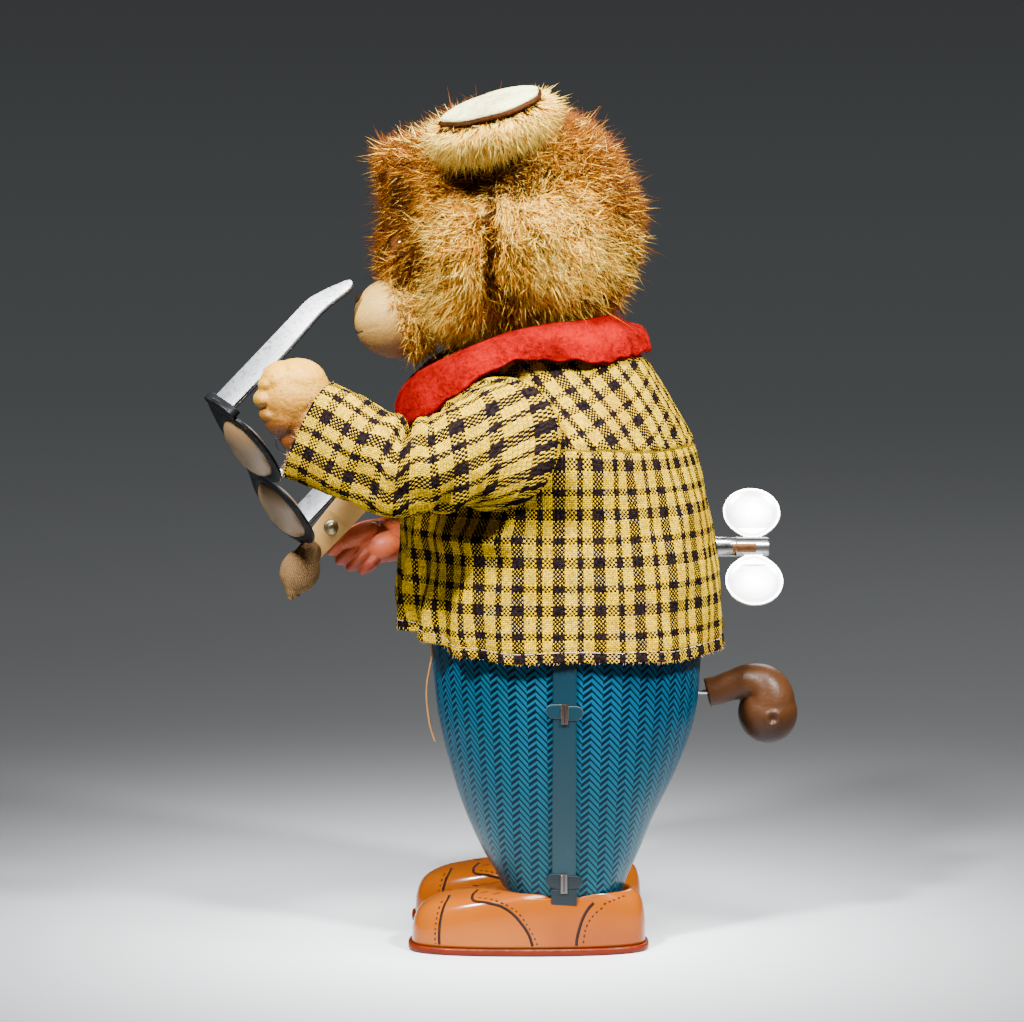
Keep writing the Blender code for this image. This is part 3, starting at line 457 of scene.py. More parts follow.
PLAID = plaid_cloth()
HERRINGBONE = herringbone_litho()
TEAL = teal_tin()
DARK_TEAL = plain("litho_teal_tab", (0.0026, 0.0068, 0.0090), 0.42, 0.3, 500.0, Specular_IOR_Level=0.2)
TAN = tan_litho()
SOLE = sole_paint()
RED_FELT = felt("red_felt_nap", (0.225, 0.0002, 0.0002))
CREAM_FELT = felt("cream_felt_nap", (0.90, 0.74, 0.34))
RIM_FELT = felt("brown_felt_nap", (0.044, 0.015, 0.005))
GROUND = plush_ground()
MUZZLE = muzzle_vinyl()
DARK_VINYL = plain("dark_vinyl_gloss", (0.020, 0.009, 0.005), 0.22, grain=500.0, Coat_Weight=0.6)
AMBER_GLASS = plain("eye_amber", (0.11, 0.035, 0.008), 0.08, grain=300.0, depth=0.01, Coat_Weight=1.0)
# Each hand's dark colour serves as its painted shade, its dirt and its pits.
PALE_HAND = hand_vinyl("pale_hand_pebbled", (0.52, 0.252, 0.012), (0.120, 0.030, 0.001), 700.0, 141.5, 160.0)
RED_HAND = hand_vinyl("red_hand_pebbled", (0.44, 0.085, 0.028), (0.200, 0.026, 0.008), 300.0, 98.5, 106.0)
BLACK_TIN = black_enamel()
TEMPLE_TIN = speckled_tin()
LENS = clouded_lens()
LENS_BACK = plain("lens_back_peach", (0.09, 0.042, 0.014), 0.5, 0.2, 500.0)
PAD = woven_pad()
STRAP = plain("strap_cream", (0.42, 0.23, 0.055), 0.75, 0.22, 700.0, 0.10)
STEEL = brushed("steel_brushed", (0.46, 0.45, 0.43), 0.35, (1.0, 0.2, 1.0))
BRASS = brushed("brass_old", (0.30, 0.245, 0.14), 0.38)
KEY_TIN = brushed("key_nickel", (0.94, 0.94, 0.93), 0.30, metallic=0.25)
BARREL = brushed("barrel_nickel", (0.46, 0.46, 0.45), 0.22, (1.0, 0.1, 1.0))
COPPER = brushed("arbor_copper", (0.22, 0.10, 0.045), 0.4)
TAIL_BROWN = tail_vinyl()
THREAD = plain("thread_orange", (0.26, 0.11, 0.025), 0.8, 0.25, 2500.0)
PALE_THREAD = plain("thread_pale", (0.42, 0.30, 0.20), 0.8, 0.2, 2500.0)
BLACK_LINE = plain("litho_line_dark", (0.010, 0.003, 0.002), 0.5, 0.3, 600.0, Specular_IOR_Level=0.1)
FUR = [fur_strand("fur_cream", (1.00, 0.74, 0.13), True), fur_strand("fur_straw", (1.00, 0.51, 0.025), True),
       fur_strand("fur_gold", (0.56, 0.225, 0.002), False),
       fur_strand("fur_amber", (0.150, 0.040, 0.0004), False),
       fur_strand("fur_brown", (0.040, 0.009, 0.0003), False)]

CAD_FINISH = {
    "litho_blue": TEAL, "litho_tan": TAN, "sole_red": SOLE, "tin_plate": TEMPLE_TIN, "steel": STEEL,
    "brass": BRASS, "key_tin": KEY_TIN, "plaid_cotton": PLAID, "red_felt": RED_FELT, "gold_plush": GROUND,
    "cream_felt": CREAM_FELT, "orange_thread": THREAD, "cream_vinyl": MUZZLE, "dark_vinyl": DARK_VINYL,
    "pale_hand_vinyl": PALE_HAND, "red_hand_vinyl": RED_HAND, "brown_vinyl": TAIL_BROWN,
    "black_tin": BLACK_TIN, "cream_lens": LENS,
}
for part in frame["record"]["subparts"]:
    node = frame["nodes"][part["node"]]
    if not node.material_slots:
        node.data.materials.append(None)
    for holder in node.material_slots:
        holder.material = CAD_FINISH[part["material_slot"]]


# ---------------------------------------------------------------- mesh helpers

def mesh_object(name, points, faces, looks, uv=None, look_index=None, smooth=True):
    """An object in the frame from body-frame points and faces of one size, with a uv row for each corner."""
    faces = np.asarray(faces, np.int32)
    data = bpy.data.meshes.new(name)
    data.vertices.add(len(points))
    data.vertices.foreach_set("co", place(points).astype(np.float32).ravel())
    data.loops.add(faces.size)
    data.loops.foreach_set("vertex_index", faces.ravel())
    data.polygons.add(len(faces))
    data.polygons.foreach_set("loop_start", np.arange(0, faces.size, faces.shape[1], dtype=np.int32))
    for look in looks if isinstance(looks, (list, tuple)) else [looks]:
        data.materials.append(look)
    if look_index is not None:
        data.polygons.foreach_set("material_index", np.asarray(look_index, np.int32))
    if uv is not None:
        data.uv_layers.new(name="cloth").data.foreach_set("uv", np.asarray(uv, np.float32).ravel())
    data.update(calc_edges=True)
    data.validate()
    if smooth:
        data.shade_smooth()
    return shown(name, data)


def finish_piece(thing, body, slot, *replaced):
    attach(thing, body)
    if replaced:
        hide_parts(*replaced)
    return thing


def round_angles(count):
    return np.linspace(0, TAU, count, endpoint=False)


def signed_power(value, power):
    """A power of a value's size that keeps its sign, for squarer or rounder sections."""
    return np.sign(value) * np.abs(value) ** power


def hill(*parts):
    """1 where every offset is 0, falling off over each one's width: offset, width, offset, width..."""
    return np.exp(-sum((offset / width) ** 2 for offset, width in zip(parts[::2], parts[1::2])))


def ramp(value, width=1.0):
    """0 below 0, rising to 1 at the width."""
    return np.clip(value / width, 0, 1)


def unit(vectors):
    return vectors / np.linalg.norm(vectors, axis=-1, keepdims=True)


def travelled(P, axis=0):
    """Distance walked from the first point of each line of points."""
    steps = np.linalg.norm(np.diff(P, axis=axis), axis=-1)
    return np.concatenate([np.zeros_like(steps.take([0], axis)), np.cumsum(steps, axis=axis)], axis)


def length_of(points, closed=False):
    if closed:
        points = np.vstack([points, points[:1]])
    return float(np.linalg.norm(np.diff(points, axis=0), axis=1).sum())


def closed_rows(P):
    """Rows of points with the first one repeated at their ends."""
    return np.concatenate([P, P[:, :1]], 1)


def ball(polar, around):
    """Unit directions at each pair of angles, the first one from straight up."""
    polar = polar[:, None]
    level = np.sin(polar)
    return np.stack([level * np.cos(around), level * np.sin(around), np.cos(polar) + 0 * around], -1)


def cells(rows, columns):
    """The row and the column of each cell of a grid, as two lists."""
    return [a.ravel() for a in np.meshgrid(np.arange(rows), np.arange(columns), indexing="ij")]


def through(keys, values, at):
    """Values on a smooth curve through the keyed rows."""
    keys, values, at = np.asarray(keys, float), np.asarray(values, float), np.asarray(at, float)
    slopes = np.gradient(values, keys, axis=0)
    index = np.clip(np.searchsorted(keys, at, side="right") - 1, 0, len(keys) - 2)
    width = (keys[index + 1] - keys[index])
    t = (at - keys[index]) / width
    if values.ndim > 1:
        t, width = t[..., None], width[..., None]
    a, b, ma, mb = values[index], values[index + 1], slopes[index] * width, slopes[index + 1] * width
    return a + ma * t + (3 * (b - a) - 2 * ma - mb) * t ** 2 + (2 * (a - b) + ma + mb) * t ** 3


def grid_normals(P, wrap):
    if wrap:
        across = np.roll(P, -1, 1) - np.roll(P, 1, 1)
    else:
        across = np.gradient(P, axis=1)
    along = np.gradient(P, axis=0)
    normal = np.cross(across, along)
    return normal / np.maximum(np.linalg.norm(normal, axis=-1, keepdims=True), 1e-9)


def walled(name, P, thickness, look, wrap=True, uv=None, flip=False):
    """A closed skin of rows and columns of points with a wall on its inner side."""
    rows, columns = P.shape[:2]
    normal = grid_normals(P, wrap) * (-1 if flip else 1)
    inner = P - normal * thickness
    points = np.concatenate([P.reshape(-1, 3), inner.reshape(-1, 3)])
    inside = rows * columns
    i, j = cells(rows - 1, columns if wrap else columns - 1)
    k = (j + 1) % columns

    def at(row, column):
        return row * columns + column

    outer = np.stack([at(i, j), at(i, k), at(i + 1, k), at(i + 1, j)], 1)
    faces = [outer, outer[:, ::-1] + inside]
    step = [(i, j), (i, j + 1), (i + 1, j + 1), (i + 1, j)]
    corners = [step, step[::-1]]
    for row, turn in ((0, 1), (rows - 1, -1)):
        j_edge = np.arange(columns if wrap else columns - 1)
        k_edge = (j_edge + 1) % columns
        strip = np.stack([at(row, k_edge), at(row, j_edge), at(row, j_edge) + inside,
                          at(row, k_edge) + inside], 1)
        r = np.full_like(j_edge, row)
        spots = [(r, j_edge + 1), (r, j_edge), (r, j_edge), (r, j_edge + 1)]
        faces.append(strip[:, ::turn])
        corners.append(spots[::turn])
    if not wrap:
        for column, turn in ((0, 1), (columns - 1, -1)):
            r = np.arange(rows - 1)
            strip = np.stack([at(r, column), at(r + 1, column), at(r + 1, column) + inside,
                              at(r, column) + inside], 1)
            c = np.full_like(r, column)
            spots = [(r, c), (r + 1, c), (r + 1, c), (r, c)]
            faces.append(strip[:, ::turn])
            corners.append(spots[::turn])
    faces = np.concatenate(faces)
    if flip:
        faces = faces[:, ::-1]
        corners = [spots[::-1] for spots in corners]
    loops = None
    if uv is not None:
        loops = np.concatenate([np.stack([uv[r, c] for r, c in spots], 1) for spots in corners])
    return mesh_object(name, points, faces, look, loops)


def capped(name, P, look, flip=False):
    """A closed skin over rings of points, with the two end rings drawn to their middles."""
    rows, columns = P.shape[:2]
    points = np.concatenate([P.reshape(-1, 3), P[0].mean(0)[None], P[-1].mean(0)[None]])
    i, j = cells(rows - 1, columns)
    k = (j + 1) % columns
    quads = np.stack([i * columns + j, i * columns + k, (i + 1) * columns + k, (i + 1) * columns + j], 1)
    triangles = np.concatenate([quads[:, [0, 1, 2]], quads[:, [0, 2, 3]]])
    j = np.arange(columns)
    k = (j + 1) % columns
    low = np.stack([k, j, np.full(columns, rows * columns)], 1)
    last = (rows - 1) * columns
    high = np.stack([last + j, last + k, np.full(columns, rows * columns + 1)], 1)
    faces = np.concatenate([triangles, low, high])
    return mesh_object(name, points, faces[:, ::-1] if flip else faces, look)


def rings_along(centres, directions, widths, heights, columns, squareness):
    """Rings of points square to a direction at each centre, width level and height rising."""
    a = round_angles(columns)
    rings = []
    for centre, direction, width, height in zip(centres, directions, widths, heights):
        direction = Vector(direction).normalized()
        level = direction.cross(Vector((0, 0, 1))).normalized()
        rise = level.cross(direction)
        c = signed_power(np.cos(a), squareness)
        s = signed_power(np.sin(a), squareness)
        rings.append(np.array(centre) + np.outer(c * width, np.array(level))
                     + np.outer(s * height, np.array(rise)))
    return np.array(rings)


def tube(name, knots, radius, look, steps, columns):
    """A round closed tube on a smooth run through knots."""
    knots = np.array(knots, float)
    t = np.arange(len(knots))
    at = np.linspace(0, len(knots) - 1, (len(knots) - 1) * steps + 1)
    path = through(t, knots, at)
    along = np.gradient(path, axis=0)
    along = unit(along)
    side = np.cross(along[0], (0.31, 0.17, 0.93))
    a = round_angles(columns)
    rings = []
    for point, direction in zip(path, along):
        side = side - direction * (side @ direction)
        side /= np.linalg.norm(side)
        other = np.cross(direction, side)
        rings.append(point + radius * (np.outer(np.cos(a), side) + np.outer(np.sin(a), other)))
    return capped(name, np.array(rings), look)


def join(name, things, sharp=None):
    """Several meshes as one object, with edges over a number of degrees kept sharp."""
    work = bmesh.new()
    looks = []
    for thing in things:
        remap = []
        for look in thing.data.materials:
            if look not in looks:
                looks.append(look)
            remap.append(looks.index(look))
        for polygon in thing.data.polygons:
            polygon.material_index = remap[polygon.material_index]
        thing.data.transform(thing.matrix_world)
        work.from_mesh(thing.data)
        bpy.data.objects.remove(thing, do_unlink=True)
    data = bpy.data.meshes.new(name)
    work.to_mesh(data)
    work.free()
    for look in looks:
        data.materials.append(look)
    data.shade_smooth()
    if sharp:
        data.set_sharp_from_angle(angle=math.radians(sharp))
    return shown(name, data)


def blob(name, lumps, look, voxel=0.45, smoothing=6):
    """Ellipsoids, each (centre, radii, turn), run together into one smooth closed form."""
    work = bmesh.new()
    for centre, radii, turn in lumps:
        made = bmesh.ops.create_icosphere(work, subdivisions=4, radius=1.0)["verts"]
        bmesh.ops.scale(work, vec=radii, verts=made)
        if turn is not None:
            bmesh.ops.rotate(work, matrix=turn, verts=made)
        bmesh.ops.translate(work, vec=centre, verts=made)
    data = bpy.data.meshes.new(name)
    work.to_mesh(data)
    work.free()
    raw = np.array([v.co for v in data.vertices])
    data.vertices.foreach_set("co", place(raw).ravel())
    return run_together(shown(name, data), look, voxel, smoothing)


def run_together(thing, look, voxel, smoothing):
    """The object remade as one smooth skin, with voxels of that size in millimetres."""
    shrink = thing.modifiers.new("run_together", "REMESH")
    shrink.mode, shrink.voxel_size = "VOXEL", voxel * MM
    soften = thing.modifiers.new("soften", "SMOOTH")
    soften.iterations, soften.factor = smoothing, 0.5
    bpy.context.view_layer.update()
    graph = bpy.context.evaluated_depsgraph_get()
    data = bpy.data.meshes.new_from_object(thing.evaluated_get(graph))
    name = thing.name
    bpy.data.objects.remove(thing, do_unlink=True)
    data.materials.clear()
    data.materials.append(look)
    data.shade_smooth()
    return shown(name, data)


def lean(axis, degrees):
    return Matrix.Rotation(math.radians(degrees), 3, axis)


def waves(P, size, seed):
    """Smooth noise from -1 to 1 at each point of a grid, of that feature size in millimetres."""
    flat = P.reshape(-1, 3) / size + seed
    return np.array([noise.noise(Vector(p)) for p in flat]).reshape(P.shape[:-1])


def plate(name, outline, thickness, look, matrix, edge):
    """A stamped piece from an outline in its own plane, in millimetres, with softened edges."""
    curve = bpy.data.curves.new(name, "CURVE")
    curve.dimensions, curve.fill_mode = "2D", "BOTH"
    curve.extrude = (thickness / 2 - edge) * MM
    curve.bevel_depth = edge * MM
    curve.bevel_resolution = 2
    curve.offset = -edge * MM
    spline = curve.splines.new("POLY")
    spline.points.add(len(outline) - 1)
    for point, (u, v) in zip(spline.points, outline):
        point.co = (u * MM, v * MM, 0.0, 1.0)
    spline.use_cyclic_u = True
    thing = shown(name, curve)
    thing.matrix_world = matrix
    bpy.context.view_layer.update()
    data = bpy.data.meshes.new_from_object(thing.evaluated_get(bpy.context.evaluated_depsgraph_get()))
    bpy.data.objects.remove(thing, do_unlink=True)
    work = bmesh.new()
    work.from_mesh(data)
    bmesh.ops.remove_doubles(work, verts=work.verts, dist=2e-6)
    bmesh.ops.recalc_face_normals(work, faces=work.faces)
    work.to_mesh(data)
    work.free()
    data.transform(matrix)
    data.materials.clear()
    data.materials.append(look)
    data.shade_smooth()
    data.set_sharp_from_angle(angle=math.radians(40))
    return shown(name, data)


def smooth_outline(points, steps=8):
    """A closed outline drawn smoothly through points."""
    points = np.array(points, float)
    count = len(points)
    run = []
    for i in range(count):
        a, b, c, d = (points[(i + k) % count] for k in (-1, 0, 1, 2))
        for t in np.linspace(0, 1, steps, endpoint=False):
            run.append(0.5 * (2 * b + (c - a) * t + (2 * a - 5 * b + 4 * c - d) * t ** 2
                              + (3 * b - a - 3 * c + d) * t ** 3))
    return [tuple(p) for p in run]


# ---------------------------------------------------------------- loose thread

THREAD_KNOTS = [(15.0, -37.0, 88.2), (15.0, -36.1, 83.5), (15.1, -35.8, 79.6), (15.2, -36.5, 75.5),
                (14.9, -37.2, 71.0), (14.8, -37.1, 66.0), (15.0, -36.3, 60.5), (15.3, -35.0, 56.2)]
THREAD_STEPS, THREAD_THICKNESS = 4, 0.6


def loose_thread():
    knots = np.array(THREAD_KNOTS)
    last = len(knots) - 1
    path = through(np.arange(len(knots)), knots, np.linspace(0, last, last * THREAD_STEPS + 1))
    curve = bpy.data.curves.new("loose_thread", "CURVE")
    curve.dimensions = "3D"
    curve.bevel_depth, curve.bevel_resolution, curve.use_fill_caps = THREAD_THICKNESS / 2 * MM, 3, True
    spline = curve.splines.new("POLY")
    spline.points.add(len(path) - 1)
    for point, where in zip(spline.points, place(path)):
        point.co = (*where, 1.0)
    curve.materials.append(THREAD)
    thing = shown("loose_thread", curve)
    finish_piece(thing, "root", "orange_thread", "hem_thread")
    tuple(place(THREAD_KNOTS[0]))


# ---------------------------------------------------------------- trousers and shoes

BODY_ROWS = np.array([
    (12.5, -16.4, 16.4, 28.6, 0.92),
    (16.8, -17.4, 17.4, 30.0, 0.90),
    (25.5, -22.5, 21.4, 31.8, 0.84),
    (35.4, -27.4, 25.8, 34.2, 0.66),
    (46.5, -31.4, 31.6, 36.8, 0.40),
    (59.3, -34.7, 36.6, 39.2, 0.16),
    (77.7, -36.6, 38.4, 40.6, 0.03),
    (92.0, -38.0, 38.0, 40.4, 0.0),
    (108.0, -38.2, 36.4, 39.4, 0.0),
    (124.0, -37.0, 32.8, 37.0, 0.0),
    (136.0, -33.5, 28.0, 33.0, 0.0),
    (144.0, -28.0, 21.5, 26.5, 0.0),
    (149.5, -19.5, 12.0, 16.0, 0.0),
])
CREASE_WIDTH = 5.5
TIN = 0.5
STRIP_HALF_WIDTH = 3.1


def body_section(z):
    return through(BODY_ROWS[:, 0], BODY_ROWS[:, 1:], np.asarray(z, float))


def trousers():
    columns = 121
    z = np.concatenate([np.linspace(12.5, 100, 90), np.linspace(102, 149.5, 24)])
    section = body_section(z)
    a = np.linspace(-math.pi / 2, math.pi / 2, columns)
    for name, node, depth_of, sign in (("trouser_front", "body_front", -section[:, 0], -1),
                                       ("trouser_back", "body_back", section[:, 1], 1)):
        square = 1.0 - 0.36 * ramp(58.0 - z, 42.0)[:, None] ** 1.3
        x = section[:, 2][:, None] * signed_power(np.sin(a), square)
        crease = 1 - section[:, 3][:, None] * hill(x, CREASE_WIDTH)
        y = sign * (depth_of[:, None] * np.abs(np.cos(a)) ** square * crease + 0.1)
        P = np.stack([x, y, np.broadcast_to(z[:, None], x.shape)], -1)
        run = travelled(P, 1)
        from_seam = np.minimum(run, run[:, -1:] - run)
        narrowing = 1.0 + 0.16 * ramp(80.0 - z, 60.0)[:, None]
        u = (from_seam + 0.8) * narrowing * sign
        uv = np.stack([u, np.broadcast_to(z[:, None], u.shape)], -1)
        finish_piece(walled(name, P, TIN, HERRINGBONE, wrap=False, uv=uv, flip=sign > 0), "root",
                     "litho_blue", node)


FLAP_OUTLINE = [(-0.5, -1.9), (-0.5, 2.0), (-3.4, 2.0), (-4.6, 1.5), (-5.0, 0.4), (-4.7, -0.8), (-3.9, -1.6),
                (-3.0, -1.9)]
STEM_OUTLINE = [(-3.4, -6.6), (3.4, -6.6), (3.5, -6.0), (3.5, -2.2), (-3.5, -2.2), (-3.5, -6.0)]


def upright(half_width, low, high):
    """A rectangle's outline."""
    return [(-half_width, low), (half_width, low), (half_width, high), (-half_width, high)]


def seam_strips():
    """The plain cover strip down each side, with two tabs bent over it at two heights."""
    for side, sign in SIDES:
        z = np.linspace(14.0, 86.0, 60)
        x = body_section(z)[:, 2]
        y = np.linspace(-STRIP_HALF_WIDTH, STRIP_HALF_WIDTH, 15)
        out = x[:, None] + 0.45 + 0.25 * np.cos(y / STRIP_HALF_WIDTH * 1.5)
        P = np.stack(np.broadcast_arrays(sign * out, y[None], z[:, None]), -1)
        strip = walled(f"{side}_strip", P, TIN, TEAL, wrap=False, flip=sign > 0)
        finish_piece(strip, "root", "litho_blue", f"{side}_seam_strip")
        for level, height, stem in (("upper", 67.9, False), ("lower", 20.4, True)):
            slope = math.atan2(body_section(height + 2)[2] - body_section(height - 2)[2], 4.0)
            out = body_section(height)[2] + 1.05
            turn = Matrix(((0, 0, sign), (sign, 0, 0), (0, 1, 0))).to_4x4()
            base = Matrix.Translation(Vector(place((sign * out, 0.0, height))))
            base = base @ Matrix.Rotation(sign * slope, 4, "Y") @ turn
            look = DARK_TEAL if stem else TEAL
            mirrored = [(-u, v - 0.5) for u, v in FLAP_OUTLINE][::-1]
            lifted, raised = (base @ Matrix.Translation(shift)
                              for shift in ((0, 0.0004, 0.0001), (0, 0, 0.0002)))
            made = [plate("flap", FLAP_OUTLINE, TIN, look, lifted, 0.14),
                    plate("flap", mirrored, TIN, look, lifted, 0.14),
                    # The dark slot plate is painted shade, standing in for the shade inside each tab's slot.
                    plate("slot", upright(0.9, -3.0, 2.5), 1.15, DARK_VINYL, raised, 0.05),
                    plate("tongue", upright(0.16, -2.6, 2.3), 1.3, DARK_TEAL, raised, 0.1)]
            if stem:
                made.append(plate("stem", STEM_OUTLINE, 0.7, look, base, 0.16))
            finish_piece(join(f"{side}_{level}_tabs", made), "root", "litho_blue", f"{side}_{level}_tab")


SOLE_TOE_Y, SOLE_HEEL_Y, SOLE_WIDTH, SHOE_X = -42.3, 23.3, 27.0, 19.0


def sole_outline(inset, count):
    a = round_angles(count)
    middle = (SOLE_TOE_Y + SOLE_HEEL_Y) / 2
    half_length = (SOLE_HEEL_Y - SOLE_TOE_Y) / 2 - inset
    side, along = np.cos(a), np.sin(a)
    half_width = SOLE_WIDTH / 2 - inset - 0.8 * np.maximum(along, 0)
    return (signed_power(side, 0.62) * half_width, middle + signed_power(along, 0.78) * half_length)


def shoe_surface(count=140, rows=44):
    """The upper's outer skin, from the sole to the opening round the leg, about X = 0."""
    x, y = sole_outline(1.0, count)
    a = round_angles(count)
    top_x, top_y = 11.0 * np.cos(a), 0.3 + 17.8 * signed_power(np.sin(a), 0.85)
    keys = np.linspace(0, 1, 8)
    shares = through(keys, [0.0, 0.02, 0.10, 0.30, 0.62, 0.90, 1.06, 1.34], np.linspace(0, 1, rows))
    z = through(keys, [2.0, 7.4, 11.4, 14.2, 15.8, 16.6, 16.3, 14.6], np.linspace(0, 1, rows))
    shares, z = shares[:, None], z[:, None]
    dip = np.exp(-((top_y - 1.0) / 5.5) ** 4) * hill(np.abs(top_x) - 11.4, 4.0) * 1.6
    return np.stack([x + (top_x - x) * shares, y + (top_y - y) * shares,
                     z - dip * ramp(shares - 0.55) * 2], -1)


DASH_SHARE = 0.55
# Printed lines in the side view: width, length of a dash and its gap or 0, run of (Y, Z)
SHOE_LINES = [
    (0.72, 0.0, [(-30.8, 15.2), (-32.4, 12.9), (-33.4, 9.0), (-33.7, 5.0), (-33.6, 2.8)]),
    (0.75, 0.0, [(-22.6, 16.5), (-24.6, 15.7), (-24.2, 14.7), (-20.6, 14.4), (-16.9, 13.6), (-14.0, 11.8),
                 (-11.6, 9.2), (-9.6, 6.2), (-8.4, 2.8)]),
    (0.80, 0.0, [(8.0, 14.4), (6.4, 12.6), (5.0, 10.0), (4.0, 6.8), (3.5, 4.4), (3.4, 2.8)]),
    (0.42, 1.4, [(-32.0, 15.2), (-33.6, 12.7), (-34.5, 9.0), (-34.8, 5.0), (-34.7, 2.9)]),
    (0.40, 1.5,
     [(-23.0, 15.4), (-19.4, 15.2), (-15.6, 14.0), (-12.4, 11.9), (-10.2, 9.0), (-8.2, 5.6), (-7.0, 2.8)]),
    (0.40, 1.5, [(10.4, 13.0), (8.4, 11.4), (6.7, 9.2), (5.7, 6.6), (5.2, 2.8)]),
    (0.40, 1.3, [(10.8, 13.9), (13.4, 14.8), (17.0, 15.7)]),
    (0.50, 0.0, [(-22.4, 16.1), (-20.6, 16.4)]),
    (0.50, 0.0, [(-19.0, 16.2), (-17.2, 16.5)]),
]


def shoes():
    for side, sign in SIDES:
        P = shoe_surface()
        P[..., 0] += sign * SHOE_X
        upper = walled(f"{side}_shoe_upper", P, TIN, TAN)
        finish_piece(upper, "root", "litho_tan", f"{side}_shoe")
        shoe_print(f"{side}_shoe_print", P, sign)
        shoe_sole(side, sign)


def shoe_sole(side, sign):
    """A folded rim round the sole: wider than the upper, with a rounded edge."""
    rows = [(3.5, 0.15), (0.75, 0.0), (0.15, 0.35), (0.0, 0.9), (0.0, 1.6), (0.2, 2.0), (0.7, 2.05),
            (1.3, 1.9), (4.0, 1.8)]
    rings = []
    for inset, z in rows:
        x, y = sole_outline(inset, 140)
        rings.append(np.stack([x + sign * SHOE_X, y, np.full_like(x, z)], -1))
    thing = capped(f"{side}_sole_rim", np.array(rings), SOLE)
    finish_piece(thing, "root", "sole_red", f"{side}_sole")


def shoe_print(name, P, sign):
    """The printed seams and stitches of a shoe, as thin ribbons on its skin."""
    rows, columns = P.shape[:2]
    i, j = cells(rows - 1, columns)
    k = (j + 1) % columns
    quads = np.stack([i * columns + j, i * columns + k, (i + 1) * columns + k, (i + 1) * columns + j], 1)
    tree = BVHTree.FromPolygons([Vector(p) for p in P.reshape(-1, 3)], quads.tolist())
    points, faces = [], []
    for width, dash, run in SHOE_LINES:
        run = np.array(run)
        at = np.linspace(0, len(run) - 1, len(run) * 14)
        path = through(np.arange(len(run)), run, at)
        walked = travelled(path)
        for face_side in (1, -1):
            strip = []
            for (y, z), done in zip(path, walked):
                start_point = Vector((sign * SHOE_X + face_side * 40, y, z))
                hit, normal, _, _ = tree.ray_cast(start_point, Vector((-face_side, 0, 0)))
                if hit is None or (dash and (done / dash) % 1.0 > DASH_SHARE):
                    strip.append(None)
                    continue
                if normal.x * face_side < 0:
                    normal = -normal
                strip.append((hit, normal))
            for first, second in zip(strip, strip[1:]):
                if not first or not second or (first[0] - second[0]).length > 3.0:
                    continue
                along = (second[0] - first[0]).normalized()
                start = len(points)
                for hit, normal in (first, second):
                    across = along.cross(normal).normalized() * width / 2
                    for lift in (0.05, -0.10):
                        points += [hit + across + normal * lift, hit - across + normal * lift]
                a, b, c, d, e, f, g, h = range(start, start + 8)
                faces += [(a, b, f, e), (c, g, h, d), (a, e, g, c), (b, d, h, f), (a, c, d, b), (e, f, h, g)]
    thing = mesh_object(name, np.array(points), faces, BLACK_LINE, smooth=False)
    finish_piece(thing, "root", "litho_tan")


# ---------------------------------------------------------------- jacket

JACKET_ROWS = np.array([
    (79.5, -41.6, 43.6, 43.4),
    (84.0, -43.4, 43.7, 43.5),
    (92.0, -44.6, 43.5, 43.5),
    (108.0, -44.2, 42.1, 43.0),
    (124.0, -43.7, 38.8, 41.2),
    (136.0, -43.9, 35.6, 39.2),
    (145.0, -43.0, 31.5, 35.2),
    (152.0, -40.0, 27.5, 30.8),
    (158.0, -36.0, 23.8, 27.0),
    (163.0, -30.0, 19.5, 22.0),
])
YOKE_Z, SHOULDER_LINE_Y = 136.7, -12.0
HEM_Z, NECK_Z, WIDEST_ROW, JACKET_CUT_LENGTH = 81.2, 163.0, 60, 0.082
BACK_WEAVE_TILT, FRONT_WEAVE_TILT = math.radians(34), math.radians(58)


